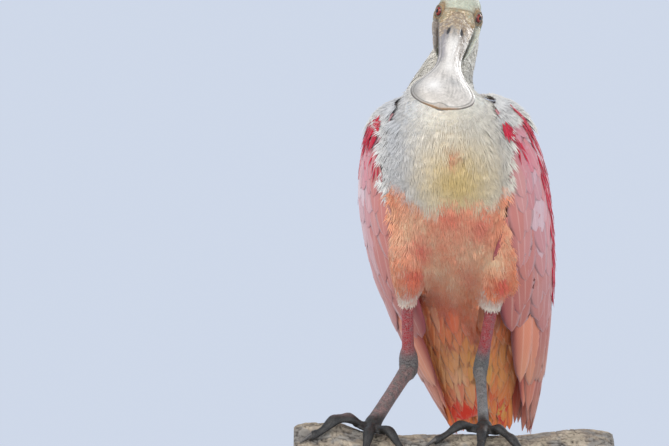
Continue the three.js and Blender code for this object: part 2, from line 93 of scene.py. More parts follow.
def roughness(points, size, seed=0.0, octaves=3):  # fractal noise between about -1 and 1
    shifted = np.asarray(points, float) / size + seed
    values = [noise.fractal(p, 0.6, 2.1, octaves) for p in shifted.reshape(-1, 3).tolist()]
    return np.reshape(values, shifted.shape[:-1])


# Rows of numbers read at any place along them, on a smooth curve
def rowAt(rows, at):
    rows = np.asarray(rows, float)
    at = np.atleast_1d(np.asarray(at, float))
    i = np.clip(np.searchsorted(rows[:, 0], at, side="left") - 1, 0, len(rows) - 2)
    a, b = rows[i], rows[i + 1]
    before, after = rows[np.maximum(i - 1, 0)], rows[np.minimum(i + 2, len(rows) - 1)]
    span = (b[:, :1] - a[:, :1])
    u = np.clip((at[:, None] - a[:, :1]) / span, 0, 1)
    slopeIn = (b - before) / (b[:, :1] - before[:, :1]) * span
    slopeOut = (after - a) / (after[:, :1] - a[:, :1]) * span
    rise = b - a
    return a + u * (slopeIn + u * (3 * rise - 2 * slopeIn - slopeOut + u * (slopeIn + slopeOut - 2 * rise)))


def rowsAt(rows, at):  # the same for an array of places: each column of the rows as an array of that shape
    return rowAt(rows, np.ravel(at)).T.reshape(-1, *np.shape(at))


# Meshes

def ringsToShell(rings):  # closed surface through rings (count, sides, 3), as vertices and triangles
    count, sides = rings.shape[:2]
    points = rings.reshape(-1, 3)
    i, j = np.meshgrid(np.arange(count - 1), np.arange(sides), indexing="ij")
    a, b = i * sides + j, i * sides + (j + 1) % sides
    faces = [np.stack([a, b, b + sides], -1).reshape(-1, 3),
             np.stack([a, b + sides, a + sides], -1).reshape(-1, 3)]
    around = np.arange(sides)
    first, last = count * sides, count * sides + 1
    faces.append(np.stack([np.roll(around, -1), around, np.full(sides, first)], -1))
    end = (count - 1) * sides + around
    faces.append(np.stack([end, (count - 1) * sides + np.roll(around, -1), np.full(sides, last)], -1))
    points = np.concatenate([points, rings[0].mean(0)[None], rings[-1].mean(0)[None]])
    return points, np.concatenate(faces)


def makeObject(name, mesh):
    made = bpy.data.objects.new(name, mesh)
    bpy.context.scene.collection.objects.link(made)
    return made


def meshFrom(name, points, faces, smooth=True):  # points in metres
    mesh = bpy.data.meshes.new(name)
    faces = [np.asarray(f) for f in (faces if isinstance(faces, list) else [faces])]
    mesh.vertices.add(len(points))
    mesh.vertices.foreach_set("co", np.asarray(points, np.float32).ravel())
    corners = np.concatenate([f.ravel() for f in faces])
    sizes = np.concatenate([np.full(len(f), f.shape[1]) for f in faces])
    mesh.loops.add(len(corners))
    mesh.loops.foreach_set("vertex_index", corners.astype(np.int32))
    mesh.polygons.add(len(sizes))
    mesh.polygons.foreach_set("loop_start", np.concatenate([[0], np.cumsum(sizes)[:-1]]).astype(np.int32))
    mesh.update(calc_edges=True)
    mesh.validate()
    mesh.polygons.foreach_set("use_smooth", np.full(len(mesh.polygons), smooth))
    return mesh


def joinShells(shells):
    points, faces, start = [], [], 0
    for shellPoints, shellFaces in shells:
        points.append(shellPoints)
        faces.append(shellFaces + start)
        start += len(shellPoints)
    return np.concatenate(points), np.concatenate(faces)


def outward(mesh):
    work = bmesh.new()
    work.from_mesh(mesh)
    bmesh.ops.recalc_face_normals(work, faces=work.faces)
    work.to_mesh(mesh)
    work.free()


def setAttribute(mesh, name, kind, values, domain="POINT"):
    layer = mesh.attributes.new(name, kind, domain)
    field = {"FLOAT_COLOR": "color", "FLOAT_VECTOR": "vector", "FLOAT2": "vector"}.get(kind, "value")
    values = np.asarray(values, np.int32 if kind == "INT" else np.float32)
    if kind == "FLOAT_COLOR" and values.shape[-1] == 3:
        values = np.concatenate([values, np.ones((len(values), 1), np.float32)], 1)
    layer.data.foreach_set(field, values.ravel())


def evaluated(made):
    graph = bpy.context.evaluated_depsgraph_get()
    graph.update()
    final = made.evaluated_get(graph)
    return bpy.data.meshes.new_from_object(final, preserve_all_data_layers=True, depsgraph=graph)


def verticesOf(mesh):
    co = np.zeros(len(mesh.vertices) * 3, np.float32)
    mesh.vertices.foreach_get("co", co)
    return co.reshape(-1, 3).astype(float)


def moveVertices(mesh, places):
    mesh.vertices.foreach_set("co", places.astype(np.float32).ravel())
    mesh.update()


def normalsOf(mesh):
    normals = np.zeros(len(mesh.vertices) * 3, np.float32)
    mesh.vertices.foreach_get("normal", normals)
    return normals.reshape(-1, 3).astype(float)


def shellMesh(name, shell):  # a shell in the bird's frame as a mesh with its faces outwards
    points, faces = shell
    mesh = meshFrom(name, toWorld(points), faces)
    outward(mesh)
    return mesh


def withEnds(values, first, last):  # values on a shell's rings, and on the middles of its two ends
    return np.concatenate([values.reshape(-1, np.shape(values)[-1]), [first], [last]])


def finishPiece(piece, slot, *nodes):
    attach(piece, "root")
    if nodes:
        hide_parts(*nodes)
    return piece


def addPiece(name, mesh, material, slot, *nodes):
    mesh.materials.append(material)
    return finishPiece(makeObject(name, mesh), slot, *nodes)


# Trunk

trunk = {
    "pitch": 50,  # degrees above the horizontal
    "anchor": (120, 15, 211),  # along, y, z
    "rows": [  # along, half-width, rise to the back, drop to the belly
        [4, 15, 5, 9], [9, 31, 11, 21], [18, 44, 17, 33], [32, 55, 29, 47], [52, 62, 43, 59],
        [76, 66, 52, 65],
        [108, 67, 58, 67], [148, 66, 55, 59], [190, 62.5, 46, 45], [232, 57, 33, 32], [278, 49, 19, 21],
        [320, 41.5, 10, 12.5], [354, 31, 3, 4],
    ],
}
pitch = math.radians(trunk["pitch"])
tailward = np.array([0, math.cos(pitch), -math.sin(pitch)])
backward = np.array([0, math.sin(pitch), math.cos(pitch)])


def onTrunk(along, left, up):
    along, left, up = np.broadcast_arrays(*[np.asarray(v, float) for v in (along, left, up)])
    start, y, z = trunk["anchor"]
    bend = 0.00007 * np.maximum(along - 100, 0) ** 2
    place = np.stack([left + bend, np.full(left.shape, float(y)), np.full(left.shape, float(z))], -1)
    return place + (along - start)[..., None] * tailward + up[..., None] * backward


def onTrunkSkin(along, turn, grow=0.0):
    row = rowsAt(trunk["rows"], along)
    s = np.sin(turn)
    return onTrunk(along, (row[1] + grow) * np.cos(turn), (np.where(s > 0, row[2], row[3]) + grow) * s)


def turns(count):
    return np.arange(count) * 2 * math.pi / count


def trunkShell(grow):
    along = np.concatenate([np.linspace(4, 32, 12)[:-1], np.linspace(32, 330, 50)])
    a, t = np.meshgrid(along, turns(64), indexing="ij")
    return ringsToShell(onTrunkSkin(a, t, grow))


# Limbs: a tube along a curve through points, with a half-width and a half-depth

def onCurve(points, at):
    points = np.asarray(points, float)
    rows = np.concatenate([np.arange(len(points))[:, None] / (len(points) - 1), points], 1)
    shape = np.shape(at)
    at = np.ravel(at)
    place = rowAt(rows, at)[:, 1:]
    way = unit(rowAt(rows, np.minimum(at + 0.004, 1))[:, 1:] - rowAt(rows, np.maximum(at - 0.004, 0))[:, 1:])
    return place.reshape(*shape, 3), way.reshape(*shape, 3)


def onLimb(points, rows, at, turn, grow=0.0, across=(1, 0, 0)):
    place, way = onCurve(points, at)
    depth = unit(np.cross(way, np.asarray(across, float)))
    side = np.cross(depth, way)
    row = rowsAt(rows, at)
    wide, deep = row[1] + grow, row[2] + grow
    return place + (wide * np.cos(turn))[..., None] * side + (deep * np.sin(turn))[..., None] * depth


def limbShell(points, rows, rings, sides, grow=0.0, start=0.0, end=1.0):
    at, t = np.meshgrid(np.linspace(start, end, rings), turns(sides), indexing="ij")
    return ringsToShell(onLimb(points, rows, at, t, grow))


neck = {
    "points": [(-2, -26, 236), (-4, -40, 264), (-6, -37, 292), (-3, -20, 316), (2, -3, 336), (6, 9, 358),
               (8, 8, 381)],
    "rows": [[0, 36, 28], [0.18, 38, 30], [0.36, 33.5, 26.5], [0.52, 26, 23], [0.68, 22.5, 21.5],
             [0.84, 21, 20], [1, 17, 16]],
}

# Head: forward, half-width, rise to the top, drop to the underside, squareness
head = {
    "place": np.array([7.2, -8, 372.5]),
    "tilt": (33.8, 12.5, 0.8),  # pitch, roll, turn in degrees
    "rows": [[-39, 6, 6, 4, 1], [-35, 12.5, 12, 9, 1], [-26, 17.2, 16.4, 14.5, 1], [-14, 19.4, 18.8, 18, 1],
             [-3, 19.6, 18, 18.6, 0.94], [7, 18.6, 15, 16.6, 0.9], [16, 17.4, 11.6, 13.6, 0.88],
             [26, 15, 8.8, 10.4, 0.86]],
    "throat": [[-22, 15, -2, 15, 1], [-12, 20.6, -1, 20, 0.9], [4, 22.6, -1.5, 20.5, 0.85],
               [20, 21.6, -3, 18.5, 0.82], [38, 19.4, -4, 15.4, 0.8], [55, 17.6, -4.6, 12.6, 0.8],
               [70, 15.4, -5, 10.6, 0.85], [84, 11, -5.4, 8.6, 0.95]],
    "eye": {"radius": 6.6, "side": 14.2, "forward": 1.0, "up": 2.5},
}


def turned(axis, degrees):
    c, s = math.cos(math.radians(degrees)), math.sin(math.radians(degrees))
    return np.array({
        "x": [[1, 0, 0], [0, c, -s], [0, s, c]],
        "y": [[c, 0, s], [0, 1, 0], [-s, 0, c]],
        "z": [[c, -s, 0], [s, c, 0], [0, 0, 1]],
    }[axis])


headTurn = turned("z", head["tilt"][2]) @ turned("x", head["tilt"][0]) @ turned("y", head["tilt"][1])


def onHead(left, forward, up):
    left, forward, up = np.broadcast_arrays(*[np.asarray(v, float) for v in (left, forward, up)])
    return np.stack([left, -forward, up], -1) @ headTurn.T + head["place"]


def inHead(points):  # the same the other way: left, forward and up of places in the bird's frame
    local = (points - head["place"]) @ headTurn
    return local[..., 0], -local[..., 1], local[..., 2]


def headShell(rows, rings=70, sides=80, grow=0.0):
    rows = np.asarray(rows, float)
    forward, t = np.meshgrid(np.linspace(rows[0, 0], rows[-1, 0], rings), turns(sides), indexing="ij")
    row = rowsAt(rows, forward)
    c, s = np.cos(t), np.sin(t)
    left = (row[1] + grow) * np.sign(c) * np.abs(c) ** row[4]
    rise = (np.where(s > 0, row[2], row[3]) + grow) * np.sign(s) * np.abs(s) ** row[4]
    lore = bump((forward - 10.5) / 5.5) * bump((rise - 4) / 7)  # the hollow in front of an eye
    left = left * (1 - 0.2 * lore * ease(6, 14, np.abs(left)))
    return ringsToShell(onHead(left, forward, rise))


def eyeAxis(side):  # where an eye looks, in the head's frame: left, forward, up
    return unit(np.array([side * 1.0, 0.62, 0.34]))


def eyeCentre(side):
    eye = head["eye"]
    return np.array([side * eye["side"], eye["forward"], eye["up"]])


def eyeFrame(side):
    axis = eyeAxis(side)
    front = unit(np.array([0, 1.0, 0]) - axis * axis[1])
    return axis, front, np.cross(axis, front)


def lidShell(side):  # a ring of skin round the eye, fuller above, drawn out into a corner at each end
    axis, front, above = eyeFrame(side)
    above = above * side
    centre = eyeCentre(side) + axis * 4.3
    t, k = np.meshgrid(turns(64), turns(14), indexing="ij")
    corner = np.abs(np.cos(t)) ** 6
    major = 5.5 + 0.8 * corner
    minor = 1.0 + 0.35 * np.maximum(np.sin(t), 0) - 0.1 * corner
    spoke = np.cos(t)[..., None] * front + np.sin(t)[..., None] * above * 0.93
    away, rise = major + minor * np.cos(k), minor * np.sin(k) - 0.55 * corner
    local = centre + spoke * away[..., None] + axis * rise[..., None]
    rings = onHead(local[..., 0], local[..., 1], local[..., 2])
    points = rings.reshape(-1, 3)
    i, j = np.meshgrid(np.arange(64), np.arange(14), indexing="ij")
    a, b = i * 14 + j, i * 14 + (j + 1) % 14
    c, d = ((i + 1) % 64) * 14 + (j + 1) % 14, ((i + 1) % 64) * 14 + j
    return points, np.concatenate([np.stack([a, b, c], -1).reshape(-1, 3),
                                   np.stack([a, c, d], -1).reshape(-1, 3)])


# Legs, with the bird's left as 1 and its right as -1
legs = {
    1: {"knee": (50, -16, 184), "ankle": (15.7, 80, 63), "foot": (27, 4, 6), "broad": 1.0},
    -1: {"knee": (-38, -26, 190), "ankle": (-47.7, 62, 63.8), "foot": (-69.7, -14, 10.8), "broad": 1.3},
}
thighAcross = [7, 16, 20, 20.5, 18.5, 16, 12.8, 9]
legWidths = [5.5, 5.4, 5.3, 5.3, 5.8, 6.4, 6.7, 6.3, 5.5, 5, 4.8, 4.7, 4.8, 5.1, 5.7, 6]
legDepths = [6.2, 6, 5.9, 6, 6.6, 8.6, 9.8, 9, 7.7, 7, 6.7, 6.6, 6.6, 6.6, 6.6, 5.6]


def joints(side):
    return [np.array(legs[side][part], float) for part in ("knee", "ankle", "foot")]


def thighLine(side):
    knee, ankle, _ = joints(side)
    away = np.array([-side * 9, 16, 8.0])
    points = [knee + (ankle - knee) * at + away * max(0.25 - at, 0) * 2 for at in (-0.2, 0, 0.25, 0.45, 0.6)]
    rows = [[i / 7, r, r] for i, r in enumerate(thighAcross)]
    return points, rows


def legLine(side):
    knee, ankle, foot = joints(side)
    rounding = 0.13
    points = [knee + (ankle - knee) * at for at in (0.5, 0.75, 1 - rounding)] + [ankle]
    points += [ankle + (foot - ankle) * at for at in (rounding, 0.5, 0.88, 1)]
    broad = legs[side]["broad"]
    rows = [[i / 15, w * (broad if i > 4 else 1), d] for i, (w, d) in enumerate(zip(legWidths, legDepths))]
    return points, rows


# Branch and toes
branch = {
    "radius": 38, "length": 280, "yaw": 9,
    "knots": [[-103, 0.1, 12, 22], [-132, 0, 9, 18], [-66, 0.3, 2.5, 26], [-22, -0.4, 3.5, 26],
              [92, 0, 4, 24],
              [124, -0.3, 8, 24], [20, 2.4, 6, 34]],
}
yaw = math.radians(branch["yaw"])
branchFront = np.array([math.sin(yaw), -math.cos(yaw), 0])
branchAlong = np.array([math.cos(yaw), math.sin(yaw), 0])


def barkRadius(along, turn):
    swell = 1.1 * np.sin(along / 33 + 0.7) + 0.8 * np.sin(along / 14 + 2 * turn)
    ribs = 0.9 * np.sin(5 * turn + along / 26) + 0.5 * np.sin(9 * turn - along / 19)
    knots = 0
    for at, spot, height, wide in branch["knots"]:
        away = np.hypot(along - at, branch["radius"] * np.sin(turn - spot)) / wide
        knots = knots + np.where(np.cos(turn - spot) > 0, height * np.exp(-away * away), 0)
    return branch["radius"] + 0.6 * (swell + ribs) + knots


def onBranch(along, forward, out):
    along, forward, out = np.broadcast_arrays(*[np.asarray(v, float) for v in (along, forward, out)])
    turn = forward / branch["radius"]
    radius = barkRadius(along, turn) + out
    return (
        along[..., None] * branchAlong
        + (radius * np.sin(turn))[..., None] * branchFront
        + (radius * np.cos(turn) - branch["radius"])[..., None] * np.array([0, 0, 1.0])
    )


toes = {  # splay in degrees, reach, radius at the root, joints, rise over the knuckles
    1: {"inner": (-60, 52, 4.5, 2, 5.5), "middle": (-8, 64, 4.9, 3, 3.5), "outer": (40, 56, 4.6, 3, 5),
        "hind": (172, 27, 4, 1, 2)},
    -1: {"inner": (-38, 50, 4.6, 2, 4.5), "middle": (10, 64, 4.9, 3, 3.5), "outer": (70, 58, 4.7, 3, 5),
         "hind": (176, 27, 4, 1, 2)},
}
clawLength = 10


def footRoot(side):
    foot = joints(side)[2]
    return foot @ branchAlong, foot @ branchFront


def onToe(side, splay, distance, sideways, out):
    along, forward = footRoot(side)
    angle = math.radians(1) * np.asarray(splay, float) * side
    return onBranch(
        along + distance * np.sin(angle) + sideways * np.cos(angle),
        forward + distance * np.cos(angle) - sideways * np.sin(angle),
        out,
    )


def toeRadius(toe, share):
    _, _, radius, jointCount, _ = toe
    swelling = 0.13 * np.cos(2 * math.pi * jointCount * share)
    return radius * (1 - 0.34 * share + swelling * ease(0, 0.2, share))


def toeShell(side, toe):
    splay, reach, _, _, arch = toe
    share, t = np.meshgrid(np.linspace(-0.04, 1, 80), turns(24), indexing="ij")
    radius = toeRadius(toe, np.maximum(share, 0)) * (1 - 0.38 * ease(0.95, 1, share))
    lift = arch * np.sin(math.pi * np.clip(share, 0, 1)) ** 2
    return ringsToShell(
        onToe(side, splay, share * reach, radius * np.cos(t) * side,
              lift + radius * 0.94 * (1 + np.sin(t)) + 0.7)
    )


def webShell(side):
    inner, middle, outer = (toes[side][name][0] for name in ("inner", "middle", "outer"))
    distance, u = np.meshgrid(np.linspace(1, 19, 16), np.linspace(-1, 1, 25), indexing="ij")
    edge = np.where(u < 0, inner, outer)
    splay = middle + (edge - middle) * np.abs(u)
    reach = distance * (1 - 0.26 * np.abs(np.sin(math.pi * u)))
    over = onToe(side, splay, reach, 0, 6.4 - distance * 0.05)
    under = onToe(side, splay, reach, 0, 3.6 - distance * 0.05)
    return ringsToShell(np.concatenate([over, under[:, ::-1]], 1))


def ballShell(centre, radii, count=24):
    t, k = np.meshgrid(np.linspace(0.02, math.pi - 0.02, count), turns(count), indexing="ij")
    local = np.stack([np.sin(t) * np.cos(k), np.sin(t) * np.sin(k), np.cos(t)], -1)
    return ringsToShell(local * np.asarray(radii) + centre)


# Wings
wing = {
    "coverts": [  # along, half-width, rise, lowest and highest turn in degrees, thickness
        [22, 59, 33, -14, 28, 5], [32, 66.5, 43, -27, 46, 11], [49, 74, 53, -34, 61, 16],
        [76, 81.5, 61, -42, 74, 20],
        [118, 86.5, 67, -53, 80, 23], [168, 84.5, 62, -53, 80, 20], [212, 79, 52, -48, 66, 13],
        [247, 69.5, 40, -38, 6, 3.5],
    ],
    "quills": [
        [100, 79, 60, -26, 85, 7], [165, 81.5, 58, -40, 88, 9], [228, 75.5, 44.5, -46, 89, 9],
        [282, 64, 29, -48, 89, 8.5], [332, 50, 18, -42, 84, 7], [363, 39, 11.5, -34, 66, 4.5],
        [383, 31, 7.5, -16, 34, 2.4],
    ],
    "flare": {1: (130, 0.066), -1: (200, -0.02)},  # from where, sideways for each millimetre along
}


def onWing(side, along, degrees, out=0.0):  # a place on a wing's outside
    along, degrees, out = np.broadcast_arrays(*[np.asarray(v, float) for v in (along, degrees, out)])
    covert = rowsAt(wing["coverts"], along)
    quill = rowsAt(wing["quills"], along)
    share = ease(196, 246, along)
    start, by = wing["flare"][side]
    wide = covert[1] * (1 - share) + quill[1] * share + by * np.maximum(along - start, 0)
    rise = covert[2] * (1 - share) + quill[2] * share
    t = np.radians(degrees)
    c, s = np.cos(t), np.sin(t)
    normal = np.stack([c / wide, s / rise], -1)
    normal /= np.linalg.norm(normal, axis=-1, keepdims=True)
    return onTrunk(along, side * (wide * c + normal[..., 0] * out), rise * s + normal[..., 1] * out)


def armShell(side, depth):  # the flesh of the folded wing, under its coverts
    rows = np.asarray(wing["coverts"], float)
    along, u = np.meshgrid(np.linspace(17, 225, 60), np.linspace(-1, 1, 31), indexing="ij")
    row = rowsAt(rows, along)
    depth = depth + 13 * ease(42, 16, along)
    low, high = row[3] + 7, row[4] - 3
    degrees = low + (high - low) * (u + 1) / 2
    thick = np.maximum(row[5] - depth, 3) * np.sqrt(np.maximum(1 - u * u, 0)) + 1.2
    over = onWing(side, along, degrees, -depth)
    under = onWing(side, along, degrees, -depth - thick)
    return ringsToShell(np.concatenate([over, under[:, ::-1]], 1))


def packedShell(side):  # everything between a wing's outside and the middle of the trunk
    along, u = np.meshgrid(np.linspace(14, 225, 60), np.linspace(0, 1, 31), indexing="ij")
    row = rowsAt(wing["coverts"], along)
    low, high = row[3] - 1, np.minimum(row[4] + 18, 90)
    degrees = low + (high - low) * u
    turn = np.radians(degrees)
    over = onWing(side, along, degrees, -1 - 12 * ease(42, 14, along))
    under = onTrunkSkin(along, turn if side > 0 else math.pi - turn, -14)
    return ringsToShell(np.concatenate([over, under[:, ::-1]], 1))


# Skin: one surface over all the flesh, a coat's depth inside the outline where feathers cover it

coat = {"trunk": 6.5, "neck": 4.5, "thigh": 6.5, "wing": 4.5}
skinGrain = {"body": 2.9, "head": 0.8, "leg": 1.0}  # size of the grid each region is remeshed on


def remeshed(name, shells, grain, smoothing):
    made = makeObject(name, shellMesh(name, joinShells(shells)))
    union = made.modifiers.new("union", "REMESH")
    union.mode = "VOXEL"
    union.voxel_size = grain * mm
    soft = made.modifiers.new("soft", "SMOOTH")
    soft.factor = 0.5
    soft.iterations = smoothing
    result = evaluated(made)
    bpy.data.objects.remove(made)
    return makeObject(name, result)


def skinMesh():
    body = [trunkShell(-coat["trunk"]),
            limbShell(neck["points"], neck["rows"], 60, 56, -coat["neck"], 0, 0.97)]
    for side, _ in bothSides:
        points, rows = thighLine(side)
        body += [limbShell(points, rows, 40, 36, -coat["thigh"], 0, 0.93), armShell(side, coat["wing"])]
    face = [headShell(head["rows"]), headShell(head["throat"])] + [lidShell(side) for side, _ in bothSides]
    neckTop = limbShell(neck["points"], neck["rows"], 16, 56, -coat["neck"] + 0.4, 0.8, 1)
    lower = []
    for side, _ in bothSides:
        points, rows = legLine(side)
        lower.append(limbShell(points, rows, 220, 40, 0.0, 0.0, 0.995))
        lower += [toeShell(side, toe) for toe in toes[side].values()]
        along, forward = footRoot(side)
        lower += [webShell(side), ballShell(onBranch(along, forward, 7.6), (7.2, 7.2, 6.4))]
    bodySkin = remeshed("skin", body, skinGrain["body"], 9)
    others = [
        remeshed("faceSkin", face + [neckTop], skinGrain["head"], 4),
        remeshed("legSkin", lower, skinGrain["leg"], 3),
    ]
    for other in others:
        union = bodySkin.modifiers.new("join", "BOOLEAN")
        union.operation = "UNION"
        union.solver = "MANIFOLD"
        union.object = other
    whole = evaluated(bodySkin)
    for made in [bodySkin] + others:
        bpy.data.objects.remove(made)
    return whole


print("skin")
skinData = skinMesh()
print("skin triangles", sum(len(p.vertices) - 2 for p in skinData.polygons))
skin = makeObject("skin", skinData)


# Markings, and some painted shade. Each gives a colour for places in the bird's frame, and both the skin and the
# feathers use it.

plumage = {
    "white": "#efe9db", "paintedShadeGrey": "#c3c6ca", "yellow": "#d9b973", "spot": "#cf7350",
    "cream": "#f5cda2", "salmon": "#f29b76", "orange": "#ed844a", "rose": "#e0403c",
    "buff": "#ea9650", "olive": "#c4a832", "red": "#e0290f", "pink": "#c1868a",
    "pale": "#d6bfc2", "carmine": "#cc0f3a", "wine": "#8e1230", "blush": "#c07465",
}
roseSpots = [  # x, z, size and strength on the belly
    (-27, 176, 8, 0.8), (-35, 152, 8, 0.75), (4, 199, 9, 0.5), (26, 190, 8, 0.6), (40, 142, 7, 0.9),
    (-12, 119, 15, 0.6), (14, 152, 8, 0.35), (-39, 133, 8, 0.8), (36, 124, 9, 0.55), (2, 98, 22, 0.45),
]
creamSpots = [(-30, 185, 12, 0.7), (20, 170, 14, 0.5), (-4, 148, 12, 0.45), (37, 165, 8, 0.8),
              (-18, 160, 9, 0.6)]


def spots(x, z, places):
    share = 0
    for spotX, spotZ, size, strength in places:
        share = np.maximum(share, strength * bump(np.hypot(x - spotX, (z - spotZ) * 0.7) / size))
    return share


def bodyTone(points, chance):  # chance: a number from 0 to 1 for each feather
    x, _, z = np.asarray(points, float).T
    # Painted shade: blue-grey on both sides of the white breast.
    bib = blend("white", "paintedShadeGrey", 0.8 * bump((x + 36) / 20) + 0.5 * bump((x - 46) / 9))
    bib = blend(bib, "yellow", 0.95 * bump(np.hypot((x - 11) / 34, (z - 229) / 38)))
    bib = blend(bib, "spot", 0.95 * bump(np.hypot((x - 9) / 4.5, (z - 250) / 6)))
    belly = blend("salmon", "orange", ease(185, 120, z))
    belly = blend(belly, "cream", 0.6 * ease(0.5, 1, chance) + spots(x, z, creamSpots))
    belly = blend(belly, "rose", spots(x, z, roseSpots) * (0.55 + 0.6 * chance))
    under = blend("buff", "orange", 0.7 * ease(0.3, 0.9, chance))
    under = blend(under, "olive", np.maximum(0.8 * bump(np.hypot((x - 12) / 8, (z - 70) / 22)),
                                                0.4 * bump(np.hypot((x - 34) / 9, (z - 40) / 9))))
    under = blend(under, "cream", 0.5 * bump(np.hypot((x + 14) / 12, (z - 58) / 24)))
    under = blend(under, "red", 0.95 * ease(64, 36, z) * ease(-0.1, 0.7, chance))
    belly = blend(belly, under, ease(104, 88, z))
    edge = 209 + 4 * np.sin(x / 8) + 3 * np.sin(x / 3.4 + 1) + 8 * ease(20, 45,
                                                                        np.abs(x - 5)) + 9 * (chance - 0.5)
    front = blend(belly, bib, ease(edge - 5, edge + 5, z))
    away = np.asarray(points) - onTrunk(120, 0, 0)
    mantle = blend("white", "pink", ease(18, 70, 120 + away @ tailward))
    return blend(front, mantle, ease(8, 26, away @ backward))


def wingTone(along, degrees, chance):
    # pale, pink and blush are the wings' own pinks made darker: partly painted shade, for the shade on the
    # wings' sides.
    tone = blend("pale", "pink", 0.15 + 0.85 * chance)
    tone = blend(tone, "blush", 0.85 * ease(-22, -44, degrees) + 0.35 * ease(230, 330, along))
    tone = blend(tone, "white", 0.2 * bump((along - 60) / 30) * ease(-30, -10, degrees))
    return tone


# Head and legs: bare skin's relief and tones

def legReach(side, points):  # the share along the leg's line, and how far in front of it
    at = np.linspace(0, 1, 260)
    place = onCurve(legLine(side)[0], at)[0]
    near = np.zeros(len(points), int)
    best = np.full(len(points), 1e9)
    for k in range(len(at)):
        away = np.linalg.norm(points - place[k], axis=1)
        closer = away < best
        best[closer], near[closer] = away[closer], k
    front = ((points - place[near]) @ np.array([0, -1.0, 0])) / np.maximum(best, 1e-6)
    length = np.linalg.norm(np.diff(place, axis=0), axis=1).cumsum()
    return at[near], np.concatenate([[0], length])[near], best, front


